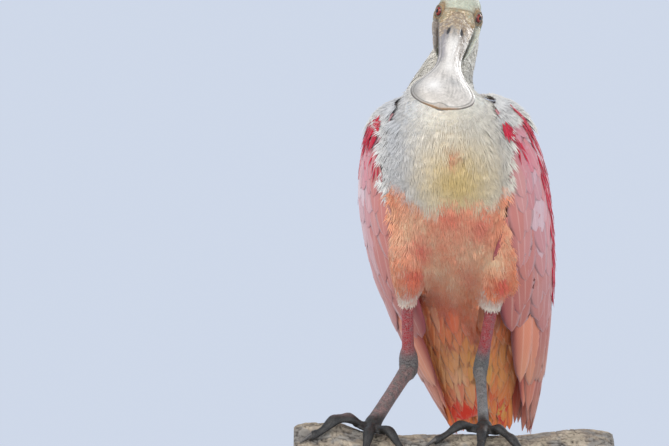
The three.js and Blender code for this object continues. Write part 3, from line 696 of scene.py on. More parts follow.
def finishSkin(mesh):
    points = verticesOf(mesh) / mm - birdPlace
    normals = normalsOf(mesh)
    tone = bodyTone(points, np.full(len(points), 0.5))
    shift = np.zeros(len(points))
    scaly = np.zeros(len(points))
    left, forward, up = inHead(points)
    isHead = (points[:, 2] > 318) & (forward > -46) & (np.linalg.norm(points - head["place"], axis=1) < 112)
    isHead &= (forward > -30) | (up > -6)
    i = np.flatnonzero(isHead)
    l, f, u = left[i], forward[i], up[i]
    folds = roughness(np.stack([l * 1.2, f * 2.4, u], 1), 9.0, 3.1) * 0.4
    pores = roughness(points[i], 1.9, 7.7, 2) * 0.14
    creases = -0.5 * np.abs(np.sin((f + 2.2 * np.sin(u / 4) + 2 * np.sin(l / 5)) / 3.4)) ** 8
    creases = creases * ease(-8, -16, u)
    eyePlaces = [eyeCentre(side) + eyeAxis(side) * 5 for side, _ in bothSides]
    toEye = np.min([np.linalg.norm(np.stack([l, f, u], 1) - place, axis=1) for place in eyePlaces], 0)
    lidLines = -0.35 * bump((toEye - 8.6) / 0.7) - 0.2 * bump((toEye - 10.8) / 0.7)
    shift[i] = (folds + pores + creases) * ease(4.8, 8, toEye) + lidLines * ease(0, 2, np.abs(l))
    ear = bump(np.hypot((f + 17) / 3.4, (u + 3) / 3.8)) * ease(12, 16, np.abs(l))
    shift[i] -= 1.3 * ear
    shift[i] += 0.45 * roughness(points[i], 2.4, 9.2, 2) * ease(7, 13, f) * ease(3, 7, u)
    shift[i] -= 0.35 * bump((f - 12.5 + 0.02 * l * l) / 0.8) * ease(4, 9, u)
    lumps = roughness(points[i], 2.4, 9.2, 2)
    crown = ease(6, 13, u) * ease(-24, -8, f)
    golden = ease(9, 15, f) + 0.8 * bump((toEye - 8) / 3) * ease(-2, 6, u)
    cheek = ease(6, 12, f) * ease(12, 14, np.abs(l)) * ease(2, -1, u)
    billEdge = np.interp(f, [8, 16, 32, 51, 72, 89], [17.6, 16.4, 15.4, 13.6, 11.6, 10.3])
    gape = bump((np.abs(l) - billEdge - 0.5) / 0.9) * ease(8, 16, f) * ease(2, -1, u)
    lidEdges = 0.75 * bump((toEye - 4.9) / 0.7) + 0.5 * bump((toEye - 8.7) / 0.6)
    lore = bump((u - 1.5 - (f - 6) * -0.12) / 2.2) * ease(5, 9, f) * ease(17, 12, f) * ease(10, 14, np.abs(l))
    nape = bump((f + 27 + 0.25 * np.abs(l)) / 5.5) * ease(-16, -6, u)
    bare = blend("#cfd0bb", "#8f947f", 0.5 + 0.9 * roughness(points[i], 11, 1.2))
    for code, share in (
        ("#c8c8b1", crown * (0.85 + 0.3 * roughness(points[i], 4, 9.2))),
        ("#a98350", golden * (0.75 + 0.8 * lumps) * ease(-4, 4, u)),
        # Painted highlight: cream on the raised tops of the lumps.
        ("#ecdcbf", 0.8 * ease(9, 15, f) * ease(0.1, 0.35, lumps) * ease(3, 7, u)),
        ("#8a7558", 0.8 * bump((f - 12.5 + 0.02 * l * l) / 1.0) * ease(4, 9, u)),
        (blend("#ab9d92", "#e4e2cf", ease(-2, 2, l)), cheek * (0.9 + 0.2 * folds)),
        ("#4a3529", 0.6 * gape),
        ("#dcdccb", 0.75 * ease(-6, -12, u) * ease(2, 20, f)),
        ("#a27d50", 0.85 * bump((toEye - 6.6) / 1.5) * ease(-8, -1, u)),
        ("#54402e", lidEdges + 0.9 * ear),
        ("#55564d", 0.7 * lore),
        ("#33322f", 0.85 * nape),
    ):
        bare = blend(bare, code, share)
    tone[i] = bare
    for side, _ in bothSides:
        ankle = joints(side)[1]
        near = np.flatnonzero((points[:, 2] < 134) & (points[:, 0] * side > -10 * side))
        share, length, away, front = legReach(side, points[near])
        toAnkle = np.linalg.norm(points[near] - ankle, axis=1)
        onLeg = (away < 14) & (points[near, 2] < 130)
        onFoot = points[near, 2] < 22
        bareLeg = onLeg | onFoot
        i, share, length, front = near[bareLeg], share[bareLeg], length[bareLeg], front[bareLeg]
        toAnkle = toAnkle[bareLeg]
        p = points[i]
        rings = np.sin(2 * math.pi * length / 3.1 + 1.2 * np.sin(p[:, 0] / 2.2))
        isFoot = p[:, 2] < 21
        relief = 0.16 * rings * ease(-0.1, 0.5, front) * ~isFoot + roughness(p, 1.6, 2.2, 2) * 0.16
        relief += 0.5 * np.sin(length * 1.55 + 0.5 * np.sin(p[:, 0])) * bump(toAnkle / 9)
        shift[i] = relief
        mottle = roughness(p, 4.2, 5.5)
        pinkPart = blend("#b0282f", "#8e5558", 0.12 + 0.8 * mottle)
        if side > 0:
            upper = blend(pinkPart, "#5b5c5b", ease(0.2, 0.33, share))
            lowerPart = blend("#7f7d7c", "#5f605f", 0.5 + mottle)
        else:
            upper = blend(pinkPart, "#66615f", ease(0.22, 0.34, share) * 0.95)
            lowerPart = blend("#8a6460", "#5c5654", 0.35 + 1.2 * mottle)
        legTone = blend(blend(upper, lowerPart, ease(0.44, 0.52, share)), "#4a4845", 0.85 * bump(toAnkle / 13))
        footTone = blend("#151311", "#2b2824", 0.5 + mottle)
        tone[i] = blend(legTone, footTone, ease(24, 15, p[:, 2]))
        scaly[i] = 0.6 - 0.52 * ease(24, 15, p[:, 2])
    moveVertices(mesh, verticesOf(mesh) + normals * shift[:, None] * mm)
    setAttribute(mesh, "tone", "FLOAT_COLOR", np.clip(tone, 0, 1))
    setAttribute(mesh, "scaly", "FLOAT", scaly)
    mesh.polygons.foreach_set("use_smooth", np.full(len(mesh.polygons), True))


print("skin relief")
finishSkin(skinData)


# Materials

class Look:  # a material and short ways to add nodes to it
    def __init__(self, name):
        self.material = bpy.data.materials.new(name)
        self.material.use_nodes = True
        self.nodes = self.material.node_tree.nodes
        self.links = self.material.node_tree.links
        self.shader = next(n for n in self.nodes if n.type == "BSDF_PRINCIPLED")

    def add(self, kind, inputs=None, **settings):
        node = self.nodes.new(kind)
        for key, value in settings.items():
            setattr(node, key, value)
        for key, value in (inputs or {}).items():
            self.put(node, key, value)
        return node

    def put(self, node, key, value):
        socket = node.inputs[key]
        if isinstance(value, bpy.types.NodeSocket):
            self.links.new(value, socket)
        else:
            socket.default_value = value

    def set(self, **values):
        for key, value in values.items():
            self.put(self.shader, key.replace("_", " "), value)

    def place(self, scale=(1, 1, 1)):
        coords = self.add("ShaderNodeTexCoord")
        mapping = self.add("ShaderNodeMapping", {"Vector": coords.outputs["Object"], "Scale": scale})
        return mapping.outputs["Vector"]

    def noise(self, scale, detail=4.0, rough=0.6, where=None, distortion=0.0):
        inputs = {"Scale": scale, "Detail": detail, "Roughness": rough, "Distortion": distortion}
        inputs["Vector"] = where if where is not None else self.place()
        return self.add("ShaderNodeTexNoise", inputs).outputs["Fac"]

    def cells(self, scale, where=None, feature="F1"):
        inputs = {"Scale": scale, "Vector": where if where is not None else self.place()}
        return self.add("ShaderNodeTexVoronoi", inputs, feature=feature).outputs["Distance"]

    def attribute(self, name, output="Color"):
        return self.add("ShaderNodeAttribute", attribute_name=name).outputs[output]

    def math(self, operation, a, b=0.5, c=0.5):
        return self.add("ShaderNodeMath", {0: a, 1: b, 2: c}, operation=operation).outputs[0]

    def spread(self, value, low, high, outLow=0.0, outHigh=1.0):
        inputs = {"Value": value, "From Min": low, "From Max": high, "To Min": outLow, "To Max": outHigh}
        return self.add("ShaderNodeMapRange", inputs).outputs[0]

    def mix(self, share, a, b, kind="MIX"):
        node = self.add("ShaderNodeMix", data_type="RGBA", blend_type=kind)
        for socket, value in ((0, share), (6, a), (7, b)):  # the places of the factor and of the two colours
            if isinstance(value, str):
                value = colour(value)
            self.put(node, socket, (*value, 1) if np.size(value) == 3 else value)
        return node.outputs[2]

    def bump(self, height, distance, strength=1.0, before=None):
        inputs = {"Height": height, "Distance": distance, "Strength": strength}
        if before is not None:
            inputs["Normal"] = before
        return self.add("ShaderNodeBump", inputs).outputs["Normal"]


def skinLook():
    look = Look("bareSkin")
    tone = look.attribute("tone")
    scaly = look.attribute("scaly", "Fac")
    net = look.cells(520.0, feature="DISTANCE_TO_EDGE")
    gaps = look.spread(net, 0.0, 0.16)
    fine = look.noise(900.0, 5.0)
    speckle = look.noise(260.0, 4.0, 0.7)
    mottled = look.mix(0.55, tone, look.mix(look.spread(speckle, 0.35, 0.7), (0.32, 0.3, 0.26),
                                            (1, 1, 0.97)), "MULTIPLY")
    pale = look.mix(look.math("MULTIPLY", look.math("SUBTRACT", 1.0, gaps), 0.5), mottled, "#b9b3ab")
    look.set(
        Base_Color=look.mix(scaly, mottled, pale),
        Roughness=look.spread(fine, 0.3, 0.7, 0.45, 0.7),
        Subsurface_Weight=0.08,
    )
    look.put(look.shader, "Subsurface Radius", (0.004, 0.0018, 0.001))
    scales = look.bump(look.math("MULTIPLY", gaps, scaly), 0.0004, 0.9)
    look.put(look.shader, "Normal", look.bump(fine, 0.00035, 0.6, scales))
    return look.material


def featherLook(name, sheen=0.25, barbs=90.0, softness=0.75):
    look = Look(name)
    tone = look.attribute("tone")
    vane = look.add("ShaderNodeSeparateXYZ", {"Vector": look.attribute("vane", "Vector")})
    side = look.math("ABSOLUTE", vane.outputs["X"])
    slant = look.math("SUBTRACT", vane.outputs["Y"], look.math("MULTIPLY", side, 0.22))
    ripple = look.noise(14.0, 2.0, 0.5)
    phase = look.math("MULTIPLY_ADD", slant, barbs, look.math("MULTIPLY", ripple, 9.0))
    barb = look.spread(look.math("SINE", phase), -1.0, 1.0)
    shaft = look.spread(side, 0.02, 0.09, 1.0, 0.0)
    shade = look.mix(0.1, tone, look.mix(barb, (0.6, 0.52, 0.5), (1, 1, 1)), "MULTIPLY")
    shade = look.mix(look.math("MULTIPLY", shaft, 0.14), shade, "#f6ece0")
    drift = look.noise(55.0, 3.0)
    shade = look.mix(0.2, shade, look.mix(drift, (0.8, 0.72, 0.68), (1, 1, 1)), "MULTIPLY")
    look.set(
        Base_Color=shade,
        Roughness=softness,
        Sheen_Weight=sheen,
        Sheen_Roughness=0.45,
        Specular_IOR_Level=0.2,
    )
    height = look.math("ADD", look.math("MULTIPLY", barb, 0.35), shaft)
    look.put(look.shader, "Normal", look.bump(height, 0.0002, 0.35))
    return look.material


skinData.materials.clear()
skinData.materials.append(skinLook())
finishPiece(skin, "body_plumage", "trunk", "neck", "head", "tail",
            *[f"{part}_{name}" for part in ("wing", "thigh", "shank", "shin", "foot") for _,
              name in bothSides])


# Feathers. Every one keeps a patch of the OFBake map at its root's place on an unwrap of the body: the trunk,
# neck, wings, tail and thighs each have a rectangle of the map, across their turn and along their length.

unwrap = {  # left, bottom, width and height of each rectangle
    "trunk": (0.02, 0.02, 0.46, 0.46), "neck": (0.52, 0.02, 0.2, 0.28), "thigh1": (0.76, 0.02, 0.1, 0.28),
    "thigh-1": (0.88, 0.02, 0.1, 0.28), "wing1": (0.02, 0.52, 0.46, 0.46), "wing-1": (0.52, 0.52, 0.46, 0.46),
    "tail": (0.52, 0.34, 0.2, 0.14),
}
patch = 0.003


def mapPlace(region, across, along):  # both from 0 to 1
    left, bottom, width, height = unwrap[region]
    return np.stack([left + width * np.clip(across, 0, 1), bottom + height * np.clip(along, 0, 1)], -1)


# A feather's outline, 1 at its widest; point is 0 for a round tip, 1 for a sharp one
def vaneWidth(v, point):
    rise = 0.28 + 0.72 * ease(0, 0.5, v)
    power = 2.3 - 1.1 * point
    return rise * np.maximum(1 - np.maximum((v - 0.42) / 0.58, 0) ** power, 0) ** (0.5 + 0.35 * point)


def loopFaces(rings, sides):  # a closed shell through rings of few points, its two ends shut by fans
    i, j = np.meshgrid(np.arange(rings - 1), np.arange(sides), indexing="ij")
    a, b = i * sides + j, i * sides + (j + 1) % sides
    walls = np.stack([a, b, b + sides, a + sides], -1).reshape(-1, 4)
    fan = np.array([[0, k + 1, k] for k in range(1, sides - 1)])
    last = (rings - 1) * sides
    return walls, np.concatenate([fan, fan[:, ::-1] + last])


def cornersOf(mesh):  # the vertex at each corner of the faces
    corners = np.empty(len(mesh.loops), np.int32)
    mesh.loops.foreach_get("vertex_index", corners)
    return corners


def softenNormals(mesh, smoothed, share):  # shade a piece of plumage more like the smooth body below it
    own = np.empty(len(mesh.loops) * 3, np.float32)
    mesh.corner_normals.foreach_get("vector", own)
    own = own.reshape(-1, 3).astype(float)
    under = smoothed[cornersOf(mesh)]
    agrees = (own * unit(under)).sum(1, keepdims=True)
    share = share * ease(-0.25, 0.35, agrees)  # undersides and edges keep their own shading
    mesh.normals_split_custom_set(unit(own * (1 - share) + under * share).tolist())


vaneDefaults = {"heading": 0, "low": -4.2, "high": -0.5, "point": 0.15, "tilt": 0.35, "bend": 0, "kind": 0}


def vaneSheets(name, surface, feathers, toneOf, rows=9, columns=3, seed=1):
    # Feathers laid on a surface(along, across, out) in millimetres, each a thin closed vane with a raised
    # shaft. A feather is a dictionary: along and across (both at the root), reach, wide, heading in degrees,
    # low and high (depth of the root and of the tip), point, tilt, bend, kind, map and chance.
    rng = np.random.default_rng(seed)
    feathers = [{**vaneDefaults, **feather} for feather in feathers]
    f = {key: np.array([feather[key] for feather in feathers], float) for key in feathers[0]}
    top = np.linspace(-1, 1, columns)
    loop = np.concatenate([top, top[1:-1][::-1]])
    isUnder = np.arange(len(loop)) >= columns
    shape = (len(feathers), rows, len(loop))
    v, u = np.broadcast_to((np.linspace(0, 1, rows) ** 0.85)[:, None], shape), np.broadcast_to(loop, shape)
    reach, wide, root = (f[key][:, None, None] for key in ("reach", "wide", "across"))
    low, high, bend, tilt = (f[key][:, None, None] for key in ("low", "high", "bend", "tilt"))
    notch = 1 - 0.06 * (rng.random((*shape[:2], 1)) ** 3) * ease(0.25, 0.5, v)
    fullness = vaneWidth(v, f["point"][:, None, None]) * notch
    half = np.maximum(wide / 2 * fullness, 0.25)
    side = u * half + bend * v * v
    ahead = reach * v - 0.09 * wide * np.abs(u) * ease(0.2, 0.7, v) * ease(1, 0.8, v)
    heading = np.radians(f["heading"])[:, None, None]
    along = f["along"][:, None, None] + ahead * np.cos(heading) - side * np.sin(heading)
    across = ahead * np.sin(heading) + side * np.cos(heading)
    rise = low + (high - low) * v ** 0.8
    thick = 0.3 * (1 - 0.6 * v) * (1 - u * u) + 0.04
    ripple = 0.1 * rng.standard_normal((*shape[:2], 1)) * (1 - u * u) * fullness
    out = rise + tilt * u * fullness + ripple - 0.05 * half * u * u + np.where(isUnder, -thick, thick * 0.6)
    points = surface(along, np.broadcast_to(root, shape), across, out)
    lengthways = surface(along + 1, root, across, out) - surface(along - 1, root, across, out)
    sideways = surface(along, root, across + 1, out) - surface(along, root, across - 1, out)
    faceOut = unit(np.cross(sideways, lengthways))
    turnOver = ((surface(along, root, across, out + 1) - points) * faceOut).sum() < 0
    first = (np.arange(shape[0]) * rows * len(loop))[:, None, None]
    faces = [(part + first).reshape(-1, part.shape[1]) for part in loopFaces(rows, len(loop))]
    mesh = meshFrom(name, toWorld(points.reshape(-1, 3)),
                    [part[:, ::-1] if turnOver else part for part in faces])
    setAttribute(mesh, "tone", "FLOAT_COLOR", np.clip(toneOf(v, u, f).reshape(-1, 3), 0, 1))
    setAttribute(mesh, "vane", "FLOAT_VECTOR", np.stack([u, v, 0 * v], -1).reshape(-1, 3))
    place = f["map"][:, None, None] + np.stack([u * 0.5, v - 0.5], -1) * patch
    setAttribute(mesh, "OFBake", "FLOAT2", place.reshape(-1, 2)[cornersOf(mesh)], "CORNER")
    faceOut = faceOut * (-1 if turnOver else 1) * np.where(isUnder, -1, 1)[:, None]
    softenNormals(mesh, faceOut.reshape(-1, 3), 0.7)
    return mesh


# Wing feathers, in rows from the shoulder to the quills

wingCoat = {
    "rows": [  # root along, reach, width, spacing, root depth, tip depth
        (23, 25, 15, 7), (29, 28, 16, 7.5), (37, 31, 16, 7.5), (46, 33, 17, 8), (56, 36, 18, 8.5),
        (67, 42, 20, 9),
        (79, 52, 22, 9.5), (92, 66, 24, 10), (106, 82, 26, 11), (122, 96, 28, 12), (140, 106, 29, 13),
    ],
    "depth": (-2.2, -0.8),
    "secondaries": {"count": 15, "from": -44, "to": 40, "root": (165, 185), "wide": 25, "tip": 318},
    "tertials": {"count": 9, "from": 30, "to": 86, "root": (158, 186), "wide": 29, "tip": 322},
    "primaries": {"count": 20, "from": -42, "to": 84, "reach": 170, "wide": 21},
    "drips": {  # count, first and last along, middle and half of the turn, reach, width, fan of the headings
        1: [(22, 20, 60, -4, 7, 16, 2.6, 4), (54, 56, 214, -3, 7, 24, 3.8, 4),
            (60, 30, 200, 20, 14, 34, 6, 4),
            (11, 27, 32, -31, 3.5, 11, 3.2, 30), (5, 36, 56, -28, 4, 14, 1.8, 8)],
        -1: [(26, 24, 50, -9, 9, 17, 4, 6), (12, 26, 38, -23, 6, 17, 3.2, 10),
             (34, 56, 210, 4, 4, 26, 3.2, 3),
             (60, 30, 200, 22, 13, 34, 6, 4), (5, 44, 66, -34, 6, 16, 2, 6)],
    },
}


def wingArc(side, along, degrees):  # millimetres across for each degree
    return np.linalg.norm(onWing(side, along, degrees + 0.5) - onWing(side, along, degrees - 0.5), axis=-1)


def wingTip(degrees):
    return 387 - 60 * (np.abs(degrees - 14) / 66) ** 2.5


def onWingSheet(side):
    def surface(along, degrees, across, out):
        arc = wingArc(side, along, degrees)
        return onWing(side, along, degrees + across / np.maximum(arc, 0.4), out)

    return surface


def onWingMap(side, along, degrees):
    return mapPlace(f"wing{side}", (degrees + 60) / 155, (along - 15) / 375)


def wingFeathers(side, rng):
    feathers = []
    low, high = wingCoat["depth"]

    def add(along, degrees, **values):
        place = onWingMap(side, along, degrees)
        feathers.append(dict(along=along, across=degrees, map=place, chance=rng.random(), **values))

    for row, (root, reach, wide, spacing) in enumerate(wingCoat["rows"]):
        _, _, _, lowest, highest, _ = rowAt(wing["coverts"], root + 8)[0]
        highest = min(highest + 14 * float(ease(40, 75, root)) - 34 * float(ease(46, 24, root)), 89)
        degrees = lowest + 1.5 + (row % 2) * 3
        depth = low - 9 * float(ease(46, 23, root))
        while degrees < highest:
            add(root + rng.normal(0, 1.2), degrees, reach=reach * rng.uniform(0.9, 1.1),
                wide=wide * rng.uniform(0.9, 1.1), heading=rng.normal(0, 3) - 4 * ease(-20, -50, degrees),
                low=depth, high=high + rng.normal(0, 0.15), point=rng.uniform(0.1, 0.45), tilt=0.3)
            arc = wingArc(side, np.array(float(root + 12)), np.array(degrees))
            degrees += spacing / arc * rng.uniform(0.9, 1.1)
    for kind, key in ((1, "secondaries"), (2, "tertials")):
        s = wingCoat[key]
        for k in range(s["count"]):
            share = k / (s["count"] - 1)
            degrees = s["from"] + (s["to"] - s["from"]) * share
            root = s["root"][0] + (s["root"][1] - s["root"][0]) * (k % 3) / 2
            wave = 14 * math.sin(share * 9) * (kind == 2)
            tip = min(s["tip"] + wave + rng.normal(0, 3), wingTip(degrees) - 14)
            add(root, degrees, reach=tip - root, wide=s["wide"] * rng.uniform(0.94, 1.06), low=-3.4,
                high=-1.5 + 0.5 * (kind == 2), heading=rng.normal(0, 0.6), point=0.3, tilt=0.55,
                bend=rng.normal(0, 1.5), kind=kind)
    s = wingCoat["primaries"]
    for k in range(s["count"]):
        degrees = s["from"] + (s["to"] - s["from"]) * k / (s["count"] - 1)
        tip = wingTip(degrees) + rng.normal(0, 1.5) - 5 * (k % 2)
        add(tip - s["reach"], degrees, reach=s["reach"], wide=s["wide"], low=-5.4, high=-2.6 + 0.8 * (k % 2),
            point=0.55, tilt=0.5, bend=rng.normal(0, 1), kind=3)
    return feathers


def wingVaneTone(v, u, f):
    along, degrees, chance, kind = (f[key] for key in ("along", "across", "chance", "kind"))
    isCovert, isQuill, isPrimary = kind == 0, kind > 0, kind == 3
    band = ease(-20, -10, degrees) * ease(36, 26, degrees) * ease(150, 110, along) * isCovert
    wrist = bump(np.hypot((along - 36) / 16, (degrees + 22) / 9)) * isCovert
    tone = wingTone(along, degrees, chance)
    for code, share in (
        ("rose", band * ease(0.45, 0.7, chance) * 0.5),
        ("carmine", wrist * (0.4 + 0.6 * chance)),
        ("blush", np.maximum(0.8 * isQuill, 0.6 * ease(70, 130, along))),
        # A darker red-brown over the quills and the wing's rear: partly painted shade over their own colour.
        ("#a14f3d", np.maximum(0.5 * isQuill, 0.25 * ease(90, 130, along))),
        # Rose on the lowest primaries: partly their own colour, partly painted shade of the dark lines along the
        # wing tips' inner edge.
        ("rose", 0.55 * isPrimary * ease(-34, -42, degrees)),
        ("salmon", 0.75 * ease(-30, -42, degrees) * isQuill),
        # Rose on the lowest coverts: partly their own colour, partly painted shade of the fold between wing and
        # belly.
        ("rose", 0.6 * ease(-44, -50, degrees) * ease(110, 90, along)),
        ("rose", 0.35 * isPrimary * ease(0.3, 1, chance)),
        ("carmine", 0.85 * isPrimary * bump((degrees - 10) / 7)),
    ):
        tone = blend(tone, code, share)
    quill = isQuill[:, None, None]
    # inner: wine on the feathers' inner side along the wing's lowest edge. It is partly the carmine of those
    # edges and partly painted shade of the fold between wing and belly.
    lowest = np.where(isQuill, -45, rowAt(wing["coverts"], along + 8)[:, 3])
    inner = (ease(8, 3, degrees - lowest) * ease(95, 130, along + 0.4 * f["reach"]))[:, None, None]
    tone = blend(tone[:, None, None], "cream", 0.2 * ease(0.6, 1, v) * quill)
    tone = blend(tone, "pale", (0.25 - 0.15 * quill) * ease(0.45, 1, np.abs(u)))
    tone = blend(tone, "blush", 0.25 * ease(0.5, 0, v))
    return blend(tone, "wine", 0.75 * inner * ease(-0.1, -0.9, u))


def wingDrips(side, rng):
    feathers = []
    for count, first, last, middle, half, reach, wide, heading in wingCoat["drips"][side]:
        for k in range(count):
            along = first + (last - first) * (k + rng.random()) / count
            degrees = middle + half * rng.uniform(-1, 1)
            feathers.append(dict(
                along=along, across=degrees, reach=reach * rng.uniform(0.75, 1.25),
                wide=wide * rng.uniform(0.7, 1.2),
                heading=heading * (degrees - middle) / half + rng.normal(0, 5), low=-1.8,
                high=rng.uniform(-0.2, 0.6),
                point=1.0, tilt=0.1, bend=rng.normal(0, 1.5), map=onWingMap(side, along, degrees),
                chance=rng.random()))
    return feathers


def dripTone(v, u, f):
    deep = blend("carmine", "wine", f["chance"] * 0.6)
    return blend(deep[:, None, None], "rose", 0.3 * ease(0.4, 1, np.abs(u)) + 0.2 * ease(0.4, 0, v))


print("wing feathers")
vaneMaterial = featherLook("wingVanes", 0.2, 150.0, 0.6)
tuftMaterial = featherLook("softDown", 0.18, 16.0, 0.85)
dripMaterial = featherLook("carmineVanes", 0.15, 90.0, 0.55)
for side, name in bothSides:
    rng = np.random.default_rng(40 + side)
    sheet = onWingSheet(side)
    vanes = vaneSheets(f"wingFeathers_{name}", sheet, wingFeathers(side, rng), wingVaneTone, 12, 5, 7 + side)
    addPiece(f"wingFeathers_{name}", vanes, vaneMaterial, "wing_plumage")
    vanes = vaneSheets(f"wingDrips_{name}", sheet, wingDrips(side, rng), dripTone, 7, 3, 17 + side)
    addPiece(f"wingDrips_{name}", vanes, dripMaterial, "wing_plumage")


# Tail feathers, and the long soft feathers that cover the tail's underside

tail = {
    "rows": [[268, 26, 8.6], [330, 32, 5], [377, 34, 1.4], [392, 34, 0.6]],  # along, half-width, height
    "feathers": 12, "root": 258, "tip": 383, "wide": 17,
    "under": [[*row] for row in trunk["rows"]] + [[378, 25, 1.6, 2.6]],
}


def onTail(along, share, across, out):
    row = rowsAt(tail["rows"], along)
    x = share * row[1] * 0.86 + across
    roof = row[2] - 5 * np.square(x / row[1])
    return onTrunk(along, x, roof + out)


def onUnder(along, turn, across, out):
    row = rowsAt(tail["under"], along)
    arc = np.maximum(np.hypot(row[1] * np.sin(turn), row[3] * np.cos(turn)), 4)
    t = turn + across / arc
    s = np.sin(t)
    return onTrunk(along, (row[1] + out) * np.cos(t), (np.where(s > 0, row[2], row[3]) + out) * s)


def tailTone(v, u, f):
    root = blend("buff", "orange", f["chance"])
    return blend(root[:, None, None], "red", 0.35 * ease(0.35, 0.0, np.abs(u)) + 0.25 * ease(0.8, 1, v))


def underTone(v, u, f):
    nothing = np.zeros(len(f["along"]))
    root = bodyTone(onUnder(f["along"] + f["reach"] * 0.6, f["across"], nothing, nothing), f["chance"])
    return blend(root[:, None, None], "cream", 0.25 * ease(0.5, 1, np.abs(u)))


def tailFeathers(rng):
    feathers = []
    for k in range(tail["feathers"]):
        share = -1 + (2 * k + 1) / tail["feathers"]
        depth = 1.2 - 1.2 * abs(share)
        feathers.append(dict(
            along=tail["root"], across=share, reach=tail["tip"] - tail["root"] - 6 * share * share,
            wide=tail["wide"], low=depth, high=depth, point=0.1, tilt=-0.5 * np.sign(share),
            map=mapPlace("tail", (share + 1) / 2, 0.3), chance=rng.random()))
    return feathers


def underFeathers(rng):
    feathers = []
    for row, along in enumerate(np.linspace(196, 318, 11)):
        half = rowAt(tail["under"], along)[0][1]
        count = int(half * 2.6 / 7)
        for k in range(count):
            turn = math.radians(-180 + 180 * (k + 0.5 * (row % 2) + 0.25) / count)
            feathers.append(dict(
                along=along, across=turn, reach=rng.uniform(50, 66) * (1 if along < 300 else 0.92),
                wide=rng.uniform(11, 15), low=-5.6, high=-1.8 + rng.normal(0, 0.2), heading=rng.normal(0, 4),
                point=0.5, tilt=0.3, map=mapPlace("trunk", turn / (2 * math.pi) + 0.5, along / 360),
                chance=rng.random()))
    return feathers


print("tail feathers")
rng = np.random.default_rng(5)
for name, sheet, feathers, tone, rows, seed in (
    ("tailFeathers", onTail, tailFeathers(rng), tailTone, 14, 3),
    ("undertailPlumes", onUnder, underFeathers(rng), underTone, 10, 4),
):
    addPiece(name, vaneSheets(name, sheet, feathers, tone, rows, 5, seed), vaneMaterial, "tail_plumage")


# Soft feathers of the body, neck and thighs: tufts of fine locks on the skin, laid by Geometry Nodes

tufts = {"shapes": 5, "locks": 7, "lockWidth": 0.085, "lockHeight": 0.0002}


def tuftShape(index):
    rng = np.random.default_rng(100 + index)
    points, faces, vane = [], [], []
    for k in range(tufts["locks"]):
        across = -0.42 + 0.84 * k / (tufts["locks"] - 1) + rng.normal(0, 0.02)
        start = rng.uniform(0, 0.18)
        end = rng.uniform(0.72, 1.0) - 0.25 * abs(across)
        drift = across * rng.uniform(0.2, 0.75) + rng.normal(0, 0.07)
        lift = rng.uniform(0, 0.0002)
        first = len(points)
        for share, width in ((0.0, 0.8), (0.55, 1.0), (1.0, 0)):
            x, y = across + drift * share * share, start + (end - start) * share
            half, height = tufts["lockWidth"] * width, tufts["lockHeight"] * width
            ring = [(x - half, y, lift), (x, y, lift + height),
                    (x + half, y, lift)] if width else [(x, y, lift * 0.5)]
            points += ring
            vane += [(-1, y, lift), (0, y, lift + height), (1, y, lift)] if width else [(0, y, lift * 0.5)]
        faces += [(first, first + 2, first + 1)]
        for j in range(3):
            a, b = first + j, first + (j + 1) % 3
            faces += [(a, b, b + 3, a + 3), (a + 3, b + 3, first + 6)]
    mesh = bpy.data.meshes.new(f"tuft{index}")
    mesh.from_pydata(points, [], faces)
    mesh.polygons.foreach_set("use_smooth", np.full(len(mesh.polygons), True))
    setAttribute(mesh, "vane", "FLOAT_VECTOR", vane)
    return bpy.data.objects.new(f"tuft{index}", mesh)


tuftShapes = bpy.data.collections.new("tuftShapes")
for index in range(tufts["shapes"]):
    tuftShapes.objects.link(tuftShape(index))


